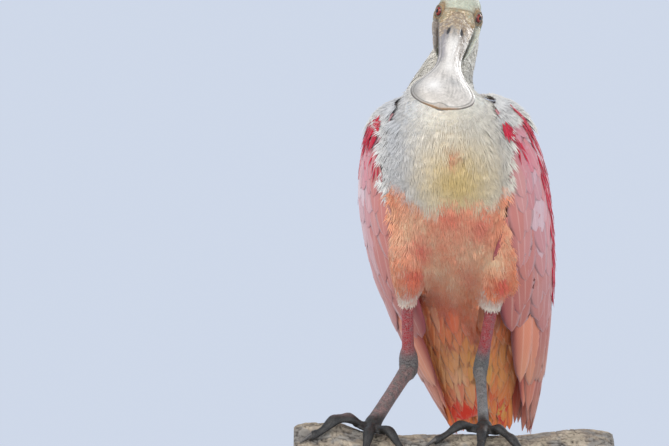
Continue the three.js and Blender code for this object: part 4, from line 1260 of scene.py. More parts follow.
def coatTree():
    tree = bpy.data.node_groups.new("featherCoat", "GeometryNodeTree")
    face = tree.interface
    face.new_socket("Roots", in_out="INPUT", socket_type="NodeSocketGeometry")
    for name, kind, value in (("Guide", "Object", None), ("Shapes", "Collection", None),
                              ("Cling", "Float", 0.9),
                              ("Patch", "Float", 0.003), ("Finish", "Material", None)):
        socket = face.new_socket(name, in_out="INPUT", socket_type=f"NodeSocket{kind}")
        if value is not None:
            socket.default_value = value
    face.new_socket("Coat", in_out="OUTPUT", socket_type="NodeSocketGeometry")
    nodes, links = tree.nodes, tree.links

    def add(kind, inputs=None, **settings):
        node = nodes.new(kind)
        for key, value in settings.items():
            setattr(node, key, value)
        for key, value in (inputs or {}).items():
            if isinstance(value, bpy.types.NodeSocket):
                links.new(value, node.inputs[key])
            else:
                node.inputs[key].default_value = value
        return node

    def named(name, kind="FLOAT_VECTOR"):
        return add("GeometryNodeInputNamedAttribute", {"Name": name}, data_type=kind).outputs["Attribute"]

    def vector(operation, a, b, scale=None):
        node = add("ShaderNodeVectorMath", {0: a, 1: b}, operation=operation)
        if scale is not None:
            links.new(scale, node.inputs["Scale"])
        return node.outputs[0]

    def number(operation, a, b):
        return add("ShaderNodeMath", {0: a, 1: b}, operation=operation).outputs[0]

    given = add("NodeGroupInput").outputs
    guideShape = add("GeometryNodeObjectInfo", {"Object": given["Guide"]}).outputs["Geometry"]
    shapes = add("GeometryNodeCollectionInfo", {"Collection": given["Shapes"], "Separate Children": True,
                                                "Reset Children": True}).outputs[0]
    facing = add("FunctionNodeAxesToRotation", {"Primary Axis": named("outwards"),
                                                "Secondary Axis": named("lie")},
                 primary_axis="Z", secondary_axis="Y").outputs[0]
    placed = add("GeometryNodeInstanceOnPoints", {
        "Points": given["Roots"], "Instance": shapes, "Pick Instance": True,
        "Instance Index": named("pick", "INT"), "Rotation": facing, "Scale": named("span")}).outputs[0]
    real = add("GeometryNodeRealizeInstances", {"Geometry": placed}).outputs[0]
    here = add("GeometryNodeInputPosition").outputs[0]
    onGuide = add("GeometryNodeSampleNearestSurface",
                  {"Mesh": guideShape, "Value": here, "Sample Position": here},
                  data_type="FLOAT_VECTOR").outputs[0]
    normal = add("GeometryNodeSampleNearestSurface", {
        "Mesh": guideShape, "Value": named("smoothOut"), "Sample Position": here},
                 data_type="FLOAT_VECTOR").outputs[0]
    vane = add("ShaderNodeSeparateXYZ", {0: named("vane")}).outputs
    lift = number("MULTIPLY", number("POWER", vane["Y"], 0.85), named("lift", "FLOAT"))
    height = number("ADD", lift, vane["Z"])
    raised = vector("SCALE", normal, (0, 0, 0), height)
    laid = vector("ADD", onGuide, raised)
    between = add("ShaderNodeMix", {0: given["Cling"], 4: here, 5: laid}, data_type="VECTOR")
    settled = add("GeometryNodeSetPosition", {"Geometry": real, "Position": between.outputs[1]}).outputs[0]
    spot = add("ShaderNodeCombineXYZ", {"X": number("MULTIPLY", vane["X"], 0.5),
                                        "Y": number("SUBTRACT", vane["Y"], 0.5)})
    shifted = vector("ADD", named("mapPlace"), vector("SCALE", spot.outputs[0], (0, 0, 0), given["Patch"]))
    settled = add("GeometryNodeStoreNamedAttribute",
                  {"Geometry": settled, "Name": "bodyNormal", "Value": normal},
                  data_type="FLOAT_VECTOR", domain="POINT").outputs[0]
    mapped = add("GeometryNodeStoreNamedAttribute", {"Geometry": settled, "Name": "OFBake", "Value": shifted},
                 data_type="FLOAT2", domain="CORNER").outputs[0]
    for spare in ("lie", "outwards", "span", "pick", "lift", "mapPlace"):
        mapped = add("GeometryNodeRemoveAttribute", {"Geometry": mapped, "Name": spare}).outputs[0]
    whole = add("GeometryNodeRealizeInstances", {"Geometry": mapped}).outputs[0]
    finish = add("GeometryNodeSetMaterial", {"Geometry": whole, "Material": given["Finish"]}).outputs[0]
    links.new(finish, add("NodeGroupOutput").inputs[0])
    return tree


def makeGuide(shells, smoothing, grown):
    # A smooth body to lay feathers along, and a tree to find places on it. The shells come in grown, which
    # closes the hollows between them, and are drawn in again after that.
    made = remeshed("guide", shells, 3.0, smoothing)
    moveVertices(made.data, verticesOf(made.data) - normalsOf(made.data) * grown * mm)
    setAttribute(made.data, "smoothOut", "FLOAT_VECTOR", normalsOf(made.data))
    return made, BVHTree.FromObject(made, bpy.context.evaluated_depsgraph_get())


featherCoat = coatTree()
closing = 9


def guideShells(grown):
    shells = [trunkShell(grown - coat["trunk"]),
              limbShell(neck["points"], neck["rows"], 60, 56, grown - coat["neck"], 0, 1)]
    for side, _ in bothSides:
        points, rows = thighLine(side)
        shells.append(limbShell(points, rows, 40, 36, grown - coat["thigh"], 0, 0.97))
        points, rows = legLine(side)
        shells.append(limbShell(points, rows, 40, 24, grown + 0.2, 0, 0.3))
    return shells


bodyGuide = makeGuide(guideShells(closing), 30, closing)
# For feathers that cross onto a wing
overWings = makeGuide(guideShells(0) + [packedShell(side) for side, _ in bothSides], 34, 0)


def settle(guide, places, ways, keep=9.0, facing=None, turnAway=0.35):
    # Roots moved onto the guide. Those far inside another part, or on a side that faces elsewhere, go.
    roots, normals, kept = [], [], []
    for k, place in enumerate(toWorld(places)):
        spot, normal, _, away = guide[1].find_nearest(Vector(place))
        if away < keep * mm and (facing is None or normal.dot(Vector(facing[k])) > turnAway):
            roots.append(spot)
            normals.append(normal)
            kept.append(k)
    roots, normals, kept = np.array(roots), np.array(normals), np.array(kept, int)
    flow = ways[kept]
    flow = unit(flow - (flow * normals).sum(1, keepdims=True) * normals)
    return roots, normals, flow, kept


def layCoat(name, places, ways, reach, wide, lift, maps, slot, seed, tones=None, cling=0.9, spread=9.0,
            guide=None,
            keep=9.0, facing=None, turnAway=0.35):
    guide = guide or bodyGuide
    rng = np.random.default_rng(seed)
    roots, normals, flow, kept = settle(guide, places, ways, keep, facing, turnAway)
    count = len(roots)
    sideways = np.cross(normals, flow)
    angle = np.radians(rng.normal(0, spread, count))[:, None]
    flow = flow * np.cos(angle) + sideways * np.sin(angle)
    chance = rng.random(count)
    tone = (tones or bodyTone)(roots / mm - birdPlace, chance)
    tone = np.clip(tone * (1 + rng.normal(0, 0.035, (count, 1))), 0, 1)
    mesh = bpy.data.meshes.new(name)
    mesh.from_pydata(roots.tolist(), [], [])
    length = np.asarray(reach)[kept] * rng.uniform(0.85, 1.2, count)
    width = np.asarray(wide)[kept] * rng.uniform(0.85, 1.2, count)
    span = np.stack([width * mm, length * mm, np.ones(count)], -1)
    setAttribute(mesh, "lie", "FLOAT_VECTOR", flow)
    setAttribute(mesh, "outwards", "FLOAT_VECTOR", normals)
    setAttribute(mesh, "span", "FLOAT_VECTOR", span)
    setAttribute(mesh, "pick", "INT", rng.integers(0, tufts["shapes"], count))
    setAttribute(mesh, "lift", "FLOAT", np.asarray(lift)[kept] * mm * rng.uniform(0.94, 1.05, count))
    setAttribute(mesh, "tone", "FLOAT_COLOR", tone)
    place = np.asarray(maps)[kept]
    setAttribute(mesh, "mapPlace", "FLOAT_VECTOR", np.concatenate([place, np.zeros((count, 1))], 1))
    source = makeObject(name, mesh)
    modifier = source.modifiers.new("coat", "NODES")
    modifier.node_group = featherCoat
    values = {"Guide": guide[0], "Shapes": tuftShapes, "Cling": cling, "Patch": patch, "Finish": tuftMaterial}
    for item in featherCoat.interface.items_tree:
        if item.in_out == "INPUT" and item.name in values:
            modifier[item.identifier] = values[item.name]
    result = evaluated(source)
    bpy.data.objects.remove(source)
    result.polygons.foreach_set("use_smooth", np.full(len(result.polygons), True))
    body = np.zeros(len(result.vertices) * 3, np.float32)
    result.attributes["bodyNormal"].data.foreach_get("vector", body)
    softenNormals(result, body.reshape(-1, 3).astype(float), 0.86)
    result.attributes.remove(result.attributes["bodyNormal"])
    print(name, count, "tufts,", sum(len(p.vertices) - 2 for p in result.polygons), "triangles")
    return finishPiece(makeObject(name, result), slot)


# Staggered rings of roots on a surface(at, turn), with their flow
def ringRoots(place, starts, spacing, seed):
    rng = np.random.default_rng(seed)
    at, turn = [], []
    for row, start in enumerate(starts):
        ring = place(np.full(33, start), np.linspace(0, 2 * math.pi, 33))
        around = np.linalg.norm(np.diff(ring, axis=0), axis=1).sum()
        count = max(int(around / spacing), 3)
        at.append(np.full(count, start))
        turn.append((np.arange(count) + 0.5 * (row % 2)) * 2 * math.pi / count)
    at, turn = np.concatenate(at), np.concatenate(turn)
    step = (starts[-1] - starts[0]) / len(starts)
    at = at + rng.uniform(-0.45, 0.45, len(at)) * step
    turn = turn + rng.normal(0, 0.3, len(at)) * spacing / 60
    return at, turn


def sideDegrees(turn):  # the turn above the trunk's side, whichever side it is
    degrees = np.degrees(turn) % 360
    degrees = np.where(degrees > 270, degrees - 360, degrees)
    return np.where(degrees > 90, 180 - degrees, degrees)


def underWing(along, turn):
    degrees = sideDegrees(turn)
    row = rowAt(wing["coverts"], along)
    lowest, highest = row[:, 3] + 4 + 5 * ease(120, 150, along), row[:, 4] - 4
    lowest = np.where(along > 212, -34, lowest)
    highest = np.where(along > 212, 90, highest)
    return (along > 26) & (degrees > lowest) & (degrees < highest)


def layTrunk(name, first, last, step, spacing, reach, wide, front, slot, seed):
    at, turn = ringRoots(onTrunkSkin, np.arange(first, last, step * thin), spacing * thin, seed)
    isFront = np.sin(turn) < 0.35
    keep = ~underWing(at, turn) & (isFront == front)
    at, turn = at[keep], turn[keep]
    places = onTrunkSkin(at, turn, -coat["trunk"])
    ways = unit(onTrunkSkin(at + 2, turn) - onTrunkSkin(at - 2, turn))
    spreadOut = 0.75 * ease(0.6, 0.95, np.abs(np.cos(turn))) * ease(130, 90, at) * (np.sin(turn) < 0.2)
    ways = unit(ways + spreadOut[:, None] * np.sign(np.cos(turn))[:, None] * np.array([1.0, 0, 0]))
    maps = mapPlace("trunk", (turn / (2 * math.pi)) % 1, at / 360)
    size = np.ones(len(at))
    degrees = sideDegrees(turn)
    beside = bump((degrees - rowAt(wing["coverts"], at)[:, 3] - 1) / 9)
    beside = beside * ease(20, 32, at) * ease(128, 100, at)
    shoulder = ease(-32, -8, degrees) * ease(66, 36, degrees) * ease(5, 15, at) * (at < 27)
    reaches = reach + 4 * beside + 5 * shoulder
    lifts = 5.6 + 3.5 * beside + 2 * shoulder
    return layCoat(name, places, ways, reaches, wide * size, lifts, maps, slot, seed)


print("body feathers")
thin = 1.0
trunkCoats = {  # first, last, step and spacing of the rows, reach, width, on the front or not, slot, seed
    "breastFeathers": (5, 120, 3.0, 3.1, 20, 5.6, True, "white_plumage", 21),
    "bellyFeathers": (118, 232, 3.1, 3.2, 22, 5.6, True, "body_plumage", 22),
    "backFeathers": (5, 170, 3.8, 3.9, 24, 7, False, "body_plumage", 23),
    "undertailFeathers": (228, 348, 3.4, 3.4, 34, 6, True, "tail_plumage", 24),
}
for name, settings in trunkCoats.items():
    layTrunk(name, *settings)


def layOverWings(name, side, first, last, low, high, reach, lift, outwards, slot, seed):
    # Feathers that lie over a wing's edge, from the breast or the shoulder. low and high are in degrees from
    # that edge.
    rng = np.random.default_rng(seed)
    rows = np.arange(first, last, 3.2 * thin)
    at, degrees = [], []
    for along in rows:
        edge = rowAt(wing["coverts"], along + 10)[0][3]
        arc = wingArc(side, np.array(float(along)), np.array(float(edge)))
        turn = np.arange(edge + low, min(edge + high, 88), 3.3 * thin / arc) + rng.uniform(0, 3)
        degrees.append(turn + rng.normal(0, 0.8, len(turn)))
        at.append(along + rng.uniform(-2, 2, len(turn)))
    at, degrees = np.concatenate(at), np.concatenate(degrees)
    places = onWing(side, at, degrees, -2.0)
    ways = unit(onWing(side, at + 2, degrees + outwards, 0) - onWing(side, at - 2, degrees - outwards, 0))
    facing = unit(onWing(side, at, degrees, 1.0) - onWing(side, at, degrees, 0))
    atFront = first < 20
    ways = unit(ways + facing * (0.6 if atFront else 0))
    size = rng.uniform(0.85, 1.1, len(at))
    toEdge = degrees - rowAt(wing["coverts"], at + 10)[:, 3]
    lifts = lift * size + 2.6 * ease(-4, -14, toEdge)
    return layCoat(name, places, ways, reach * size, 5.6 * size, lifts, onWingMap(side, at, degrees), slot, seed,
                   guide=overWings, keep=24.0, cling=1.0, facing=facing, turnAway=-0.3 if atFront else 0.35)


overWingCoats = {  # first, last, low, high, reach, lift, outwards, slot, seed
    "shoulderFeathers": (6, 27, -6, 74, 15, 4.6, 0, "white_plumage", 70),
    "mantleFeathers": (22, 50, 46, 100, 17, 5.6, -0.2, "white_plumage", 60),
    "bibEdge": (22, 108, -20, -6, 15, 4.6, 0.6, "white_plumage", 80),
    "flankFeathers": (106, 182, -20, {1: -3, -1: -8}, 18, 5.2, 0.3, "body_plumage", 90),
}
for side, name in bothSides:
    for coatName, (*settings, seed) in overWingCoats.items():
        settings = [each[side] if isinstance(each, dict) else each for each in settings]
        layOverWings(f"{coatName}_{name}", side, *settings, seed + side)

neckStep = 0.019 * thin
at, turn = ringRoots(lambda a, t: onLimb(neck["points"], neck["rows"], a, t),
                     np.arange(0.04, 0.96, neckStep), 3.2 * thin, 31)
keep = (at > 0.03) & (at < 0.965)
at, turn = at[keep], turn[keep]
places = onLimb(neck["points"], neck["rows"], at, turn, -coat["neck"])
ways = -onCurve(neck["points"], at)[1]
size = 0.62 + 0.38 * ease(1, 0.5, at)
layCoat("neckFeathers", places, ways, 20 * size, 5.4 * size, 4.3 * size,
        mapPlace("neck", turn / (2 * math.pi) % 1, at),
        "white_plumage", 32)


def thighTone(points, chance):
    tone = bodyTone(points, chance)
    _, y, z = points.T
    cream = ease(143, 128, z + 0.15 * y + 16 * (chance - 0.5)) + 0.35 * ease(0.6, 0.9, chance)
    return blend(tone, blend("white", "cream", 0.5 * chance), 0.9 * cream)


for side, name in bothSides:
    line, rows = thighLine(side)
    at, turn = ringRoots(lambda a, t: onLimb(line, rows, a, t), np.arange(0.08, 0.98, 0.027 * thin),
                         3.2 * thin, 50 + side)
    keep = (at > 0.06) & (at < 0.82)
    at, turn = at[keep], turn[keep]
    places = onLimb(line, rows, at, turn, -coat["thigh"])
    ways = onCurve(line, at)[1]
    size = np.ones(len(at))
    puff = ease(0.62, 0.8, at)
    layCoat(f"thighFeathers_{name}", places, ways, 20 - 7 * puff, 5.4 * size, 4.8 - 0.6 * puff,
            mapPlace(f"thigh{side}", turn / (2 * math.pi) % 1, at), "thigh_plumage", 60 + side, thighTone,
            0.95, keep=7.0)

for guideObject, _ in (bodyGuide, overWings):
    bpy.data.objects.remove(guideObject)
for shape in list(tuftShapes.objects):
    bpy.data.objects.remove(shape)
bpy.data.collections.remove(tuftShapes)

# Bill: two flat blades, each with a rim along its edge and a line inside it

bill = {
    "start": 16, "reach": 159,
    "rows": [  # share of the length, half-width, height of the culmen, height of the edge
        [0, 16.4, 11.4, 0.5], [0.1, 15.4, 9.6, 0], [0.22, 13.6, 7.4, -0.6], [0.35, 11.6, 5.4, -1],
        [0.46, 10.3, 4, -1.4], [0.56, 11.4, 3.2, -1.8], [0.65, 15.4, 2.8, -2.3], [0.74, 21.4, 2.5, -3],
        [0.81, 26, 2.2, -3.6], [0.87, 27.6, 1.8, -4.3], [0.93, 25, 0.9, -5.2], [0.975, 17, -0.6, -6.2],
        [1, 7, -2.2, -6.8],
    ],
    "gap": 0.35, "rim": 2.6, "nostril": (0.19, 0.41),
}


def billBlade(side):
    isUpper = side > 0
    at = np.concatenate([np.linspace(0, 0.9, 150)[:-1], np.linspace(0.9, 1, 40)])
    ends = np.linspace(0, 1, 9)[1:]  # the tip is rounded off
    shares = np.concatenate([at, np.full(len(ends), 1.0)])
    full = np.concatenate([np.ones(len(at)), np.sqrt(np.maximum(1 - ends**2, 0.0004))])[:, None]
    beyond = np.concatenate([np.zeros(len(at)), ends * 1.4])[:, None]
    top = np.sin(np.linspace(-1, 1, 65) * math.pi / 2)
    loop = np.concatenate([top, top[1:-1][::-1]])
    isTop = np.arange(len(loop)) < len(top)
    share, u = np.meshgrid(shares, loop, indexing="ij")
    row = rowsAt(bill["rows"], share)
    half = row[1] * (1 if isUpper else 0.95) * full
    rise = np.maximum((row[2] - row[3]) * (1 if isUpper else 0.66), 1.6) * full
    forward = bill["start"] + share * bill["reach"] * (1 if isUpper else 0.975) + beyond
    across = u * half
    # Millimetres in from the edge
    inset = np.minimum((1 - np.abs(u)) * half, (1.012 - share) * bill["reach"])
    crown = 0.5 + rise * np.maximum(np.cos(u * math.pi / 2), 0) ** 0.8

    places = np.stack([across, forward, 0 * u], -1)
    calm = ease(0.5, 0.66, share)  # the spoon
    wrinkle = roughness(np.stack([u * 24, forward * 0.42, 0 * u], -1), 4.2, 4.4 + side)
    wrinkle = wrinkle * (1 - 0.8 * calm) * ease(0.97, 0.88, share)
    rays = roughness(np.stack([u * 34, forward * 0.07, 0 * u], -1), 1.5, 6.1, 2)
    rays = rays * calm * ease(0.98, 0.9, share)
    fine = roughness(places, 1.7, 8.4, 2)
    lumps = roughness(places, 2.5, 5.1, 2)
    groove = -0.4 * bump((inset - bill["rim"]) / 0.55) * ease(0.2, 0.5, share)
    lip = 0.25 * bump((inset - 0.7) / 0.7)
    ridge = 0.3 * np.sin(forward * 1.35 + 0.05 * np.square(across) + wrinkle * 2)
    ridge = ridge * ease(0.3, 0.06, share) * ease(3, 7, inset)
    middle = -0.35 * (bump((np.abs(across) - 6.4 * ease(0.7, 0.1, share)) / 0.9))
    middle = middle * ease(0.72, 0.4, share) * ease(0, 0.1, share)
    relief = wrinkle * 0.3 + rays * 0.09 + fine * 0.06 + groove + lip + ridge * 0.4 + middle
    relief = relief + lumps * 0.4 * ease(0.17, 0.06, share)
    nostrilAt, nostrilAside = bill["nostril"]
    ahead = (share - nostrilAt) * bill["reach"]
    aside = (np.abs(u) - nostrilAside) * half
    slit = bump((aside - 0.1 * ahead) / 1.5) * bump(ahead / 6.4) * isUpper
    relief = relief - 1.6 * slit + 0.4 * bump((aside + 1.6) / 0.8) * bump(ahead / 5) * isUpper
    out = np.where(isTop, crown + relief * ease(0, 1.2, inset + 0.5), 0.0)
    up = row[3] + side * bill["gap"] / 2 + side * out
    mesh = shellMesh("bill", ringsToShell(onHead(across, forward, up)))

    tone = blend("#e6dccf", "#a0978a", 0.36 + 0.9 * wrinkle + 0.55 * rays + 0.25 * fine)
    # Greyer, browner sides: partly the horn's own streaks, partly painted shade where the bill curves away.
    margin = ease(0.2, 0.6, np.abs(u)) * ease(0.62, 0.4, share)
    tone = blend(tone, blend("#9a918f", "#8f7c66", ease(-0.1, 0.1, u)), margin * (0.8 + 0.5 * wrinkle))
    for code, strength in (
        # Painted shade: a grey patch on the spoon, and a grey strip along one edge of it.
        ("#8d8a85", 0.55 * bump((u - 0.3) / 0.3) * bump((share - 0.77) / 0.05)),
        ("#8d8a85", 0.6 * ease(-0.62, -0.9, u) * ease(0.7, 0.8, share)),
        # Painted highlights: a pale streak down the middle of the bill, and a bright spot on the spoon.
        ("#f8f0e4", 0.9 * bump(u / 0.4) * ease(0.22, 0.34, share) * ease(0.72, 0.6, share)),
        ("#fdf6ec", 0.9 * bump((u + 0.34) / 0.3) * bump((share - 0.84) / 0.07)),
    ):
        tone = blend(tone, code, strength)
    tone = tone * (1 - 0.3 * ease(0.38, 0.14, share))[..., None]
    gold = ease(0.25, 0.11, share - 0.03 * np.abs(u) + 0.08 * wrinkle)
    for code, strength in (
        ("#97764a", gold * (0.8 + 0.7 * lumps)),
        # Painted highlight: cream on the raised tops of the lumps.
        ("#dccbab", gold * ease(0.1, 0.35, lumps) * 0.7),
        ("#8a6f4d", 0.6 * ease(0.02, 0.0, share)),
        ("#6d675c", 0.8 * bump((inset - bill["rim"]) / 0.5) * ease(0.15, 0.4, share)),
        ("#4d4133", 0.85 * ease(1.1, 0.3, inset)),
        ("#a9793f", 0.6 * ease(0.965, 1.0, share) * ease(2.5, 0.6, inset)),
        ("#241d17", ease(0.25, 0.6, slit)),
        ("#5a5750", 0.5 * (not isUpper)),
    ):
        tone = blend(tone, code, strength)
    setAttribute(mesh, "tone", "FLOAT_COLOR", withEnds(tone, tone[0].mean(0), tone[-1].mean(0)))
    blade = np.stack([across, share * bill["reach"], inset], -1)
    setAttribute(mesh, "blade", "FLOAT_VECTOR", withEnds(blade, blade[0, 0], blade[-1, -1]))
    return mesh


def billLook():
    look = Look("billHorn")
    tone = look.attribute("tone")
    blade = look.attribute("blade", "Vector")
    grain = look.add("ShaderNodeMapping", {"Vector": blade, "Scale": (0.9, 0.1, 0.5)}).outputs[0]
    streak = look.noise(1.6, 6.0, 0.7, grain, 0.4)
    spot = look.noise(340.0, 5.0, 0.65)
    shade = look.mix(0.3, tone, look.mix(look.spread(streak, 0.35, 0.68), (0.55, 0.52, 0.48), (1, 1, 1)),
                     "MULTIPLY")
    shade = look.mix(0.25, shade, look.mix(look.spread(spot, 0.38, 0.62), (0.5, 0.49, 0.45), (1, 1, 1)),
                     "MULTIPLY")
    look.set(Base_Color=shade, Roughness=look.spread(spot, 0.3, 0.7, 0.24, 0.46), Coat_Weight=0.35,
             Coat_Roughness=0.16)
    relief = look.bump(streak, 0.0005, 0.5)
    look.put(look.shader, "Normal", look.bump(spot, 0.0003, 0.5, relief))
    return look.material


print("bill, eyes and claws")
billMaterial = billLook()
for side, name in ((1, "upper"), (-1, "lower")):
    addPiece(f"bill_{name}_horn", billBlade(side), billMaterial, "bill_horn", f"bill_{name}")


# Eyes: a ball with a clear bulge over a red iris and a round pupil

def eyeMesh(side):
    axis, front, above = eyeFrame(side)
    t, k = np.meshgrid(np.linspace(0.004, math.pi - 0.004, 90), turns(72), indexing="ij")
    bulge = 0.55 * bump(t / 0.5)
    radius = head["eye"]["radius"] - 0.25 + bulge
    parts = ((np.cos(t), axis), (np.sin(t) * np.cos(k), front), (np.sin(t) * np.sin(k), above))
    local = sum(share[..., None] * way for share, way in parts) * radius[..., None] + eyeCentre(side)
    mesh = shellMesh("eye", ringsToShell(onHead(local[..., 0], local[..., 1], local[..., 2])))
    gaze = np.stack([t, k / (2 * math.pi), 0 * t], -1)
    setAttribute(mesh, "gaze", "FLOAT_VECTOR", withEnds(gaze, (0, 0, 0), (3.1, 0, 0)))
    return mesh


def eyeLook():
    look = Look("redEye")
    gaze = look.add("ShaderNodeSeparateXYZ", {"Vector": look.attribute("gaze", "Vector")})
    away = gaze.outputs["X"]
    spokes = look.noise(900.0, 3.0, 0.6)
    iris = look.mix(look.spread(spokes, 0.35, 0.65), "#4a0b06", "#8c1b0c")
    iris = look.mix(look.spread(away, 0.36, 0.44, 0.8, 0.0), iris, "#a8441d")
    shade = look.mix(look.spread(away, 0.60, 0.70), iris, "#1b0c08")
    shade = look.mix(look.spread(away, 0.295, 0.325, 1.0, 0.0), shade, (0.002, 0.002, 0.002))
    look.set(Base_Color=shade, Roughness=0.3, Specular_IOR_Level=0.3, Coat_Weight=0.35, Coat_Roughness=0.02)
    return look.material


eyeMaterial = eyeLook()
for side, name in bothSides:
    addPiece(f"eyeball_{name}", eyeMesh(side), eyeMaterial, "eye", f"eye_{name}")


# Claws: short curved cones with a ridge along the top

def clawShell(side, toe):
    splay, reach = toe[:2]
    toeEnd = toeRadius(toe, np.array(1.0))
    overlap = 1.6  # of the claw's root and the toe
    share, t = np.meshgrid(np.linspace(0, 1, 26), turns(18), indexing="ij")
    radius = toeEnd * 0.62 * np.maximum(1 - share, 0) ** 0.7 * 1.05 + 0.22
    lift = (toeEnd * 0.95 + 0.35) * (1 - share**1.7) + 0.75
    ridge = 1 + 0.1 * bump((t - math.pi / 2) / 0.4)
    distance = reach - overlap + share * (clawLength + overlap)
    sideways = radius * 0.78 * np.cos(t) * side
    return ringsToShell(onToe(side, splay, distance, sideways, lift + radius * ridge * np.sin(t)))


def clawLook():
    look = Look("clawHorn")
    streak = look.noise(300.0, 5.0, 0.6)
    shade = look.mix(look.spread(streak, 0.35, 0.65), "#1f1c1a", "#57504a")
    look.set(Base_Color=shade, Roughness=look.spread(streak, 0.3, 0.7, 0.3, 0.5), Coat_Weight=0.2,
             Coat_Roughness=0.2)
    look.put(look.shader, "Normal", look.bump(streak, 0.0002, 0.6))
    return look.material


clawData = shellMesh("claws", joinShells([clawShell(side, toe) for side,
                                          _ in bothSides for toe in toes[side].values()]))
addPiece("claws", clawData, clawLook(), "claw_horn",
         *[f"claw_{name}_{toe}" for side, name in bothSides for toe in toes[side]])


# Branch: bark with cracks and plates round its length, and sawn ends

def barkMesh():
    half = branch["length"] / 2
    along, turn = np.meshgrid(np.linspace(-half, half, 300), turns(270), indexing="ij")
    radius = branch["radius"]
    wrapped = np.stack([along * 0.34, np.cos(turn) * radius, np.sin(turn) * radius], -1)
    plates = roughness(wrapped, 7.5, 2.0, 4)
    crack = bump(np.abs(roughness(wrapped, 9.0, 6.0, 3)) / 0.055)
    grain = roughness(wrapped * (1, 3, 3), 6.0, 9.0, 2)
    cross = np.abs(roughness(wrapped * (4.5, 0.6, 0.6), 11.0, 13.0, 2))
    seam = np.minimum(half - np.abs(along), 3) / 3  # the sawn edge is worn round
    out = plates * 0.9 + grain * 0.3 - crack * 1.7 - 1.2 * (1 - seam) ** 2 - 0.2 - 0.8 * bump(cross / 0.04)
    rings = onBranch(along, turn * radius, out)
    shares = np.concatenate([[0.985, 0.965], np.linspace(0.95, 0.03, 44)])  # rings of each sawn end
    ends = [ring.mean(0) + (ring - ring.mean(0)) * shares[:, None, None] for ring in (rings[0], rings[-1])]
    mesh = shellMesh("bark", ringsToShell(np.concatenate([ends[0][::-1], rings, ends[1]])))

    inwards, t = shares[:, None], turn[0]
    year = np.sin(inwards * 92 + 1.5 * np.sin(3 * t) + 0.8 * np.sin(7 * t + 1)) ** 4
    sawn = blend("#b08d62", "#876542", 0.7 * year + 0.5 * ease(0.6, 0.1, inwards))
    sawn = blend(sawn, "#4a3d31", ease(0.94, 0.97, inwards))
    patches = roughness(onBranch(along, turn * radius, 0), 24, 17.0)
    tone = blend("#8c8072", "#c6b8a2", 0.35 + 0.9 * plates)
    tone = blend(tone, "#8d8a84", ease(0.05, 0.3, patches) * 0.75)
    tone = blend(tone, "#b7aa93", ease(0.12, 0.32, -patches) * 0.6)
    tone = blend(tone, "#2e2620", 0.85 * crack + 0.5 * bump(cross / 0.05))
    tone = np.concatenate([sawn[::-1], tone, sawn])
    tone = withEnds(tone, tone[0, 0], tone[-1, 0])
    setAttribute(mesh, "tone", "FLOAT_COLOR", np.clip(tone, 0, 1))
    return mesh


def twigMesh():  # the stump of a side twig
    points = [onBranch(102.0, -64.0, -14.0), onBranch(107.0, -67.0, 4.0), onBranch(116.0, -69.0, 20.0)]
    rows = [[0, 11, 11], [0.33, 9.5, 9.5], [0.66, 8.4, 8.4], [1, 7.6, 7.6]]
    at, t = np.meshgrid(np.linspace(0, 1, 60), turns(60), indexing="ij")
    lump = roughness(onLimb(points, rows, at, t, 0.0, branchAlong), 4.0, 3.0)
    out = lump * 0.5 - 0.8 * ease(0.95, 1, at)
    mesh = shellMesh("twigBark", ringsToShell(onLimb(points, rows, at, t, out, branchAlong)))
    sawn = colour("#b58f62")
    tone = withEnds(blend("#6f6255", "#a8977f", 0.4 + lump), sawn, sawn)
    setAttribute(mesh, "tone", "FLOAT_COLOR", np.clip(tone, 0, 1))
    return mesh


def barkLook():
    look = Look("bark")
    tone = look.attribute("tone")
    coarse = look.noise(160.0, 8.0, 0.7)
    fine = look.noise(700.0, 6.0, 0.7)
    shade = look.mix(0.7, tone, look.mix(look.spread(coarse, 0.3, 0.7), (0.4, 0.37, 0.34),
                                         (1.1, 1.08, 1.05)), "MULTIPLY")
    look.set(Base_Color=shade, Roughness=look.spread(fine, 0.3, 0.7, 0.8, 0.98))
    rough = look.bump(coarse, 0.0012, 0.8)
    look.put(look.shader, "Normal", look.bump(fine, 0.0005, 0.8, rough))
    return look.material


print("branch and stand")
barkMaterial = barkLook()
addPiece("branchBark", barkMesh(), barkMaterial, "bark", "perch")
addPiece("branchTwig", twigMesh(), barkMaterial, "bark")


# Stand: a dark wooden plate and two steel rods

stand = {"width": 300, "depth": 250, "height": 18, "corner": 22, "edge": 4, "spacing": 150}
ground = -birdPlace[2]


def plateMesh():
    arc = np.linspace(0, math.pi / 2, 9)
    steps = [(1.2, ground), (0.35, ground + 0.35), (0, ground + 1.2)]
    top = stand["height"] + ground
    steps += [(stand["edge"] * (1 - math.cos(a)), top - stand["edge"] * (1 - math.sin(a))) for a in arc]
    w, d = stand["width"] / 2 - stand["corner"], stand["depth"] / 2 - stand["corner"]
    rings = []
    for inset, z in steps:
        ring = []
        r = stand["corner"] - inset
        for quarter, (sx, sy) in enumerate(((1, 1), (-1, 1), (-1, -1), (1, -1))):
            for a in np.linspace(0, math.pi / 2, 10):
                angle = a + quarter * math.pi / 2
                ring.append((sx * w + r * math.cos(angle), sy * d + r * math.sin(angle) - birdPlace[1], z))
        rings.append(ring)
    return shellMesh("plate", ringsToShell(np.array(rings)))


def rodMesh(side):  # a rod with a collar at its foot: radius and height of each ring
    profile = [(9.5, -163.9), (9.5, -162.4), (8.8, -161.6), (5.3, -161.2), (5, -160.6), (5, -110), (5, -66.5)]
    x, y, _ = branchAlong * side * stand["spacing"] / 2
    t = turns(40)
    rings = [np.stack([x + r * np.cos(t), y + r * np.sin(t), np.full(40, z)], -1) for r, z in profile]
    return shellMesh("rod", ringsToShell(np.array(rings)))


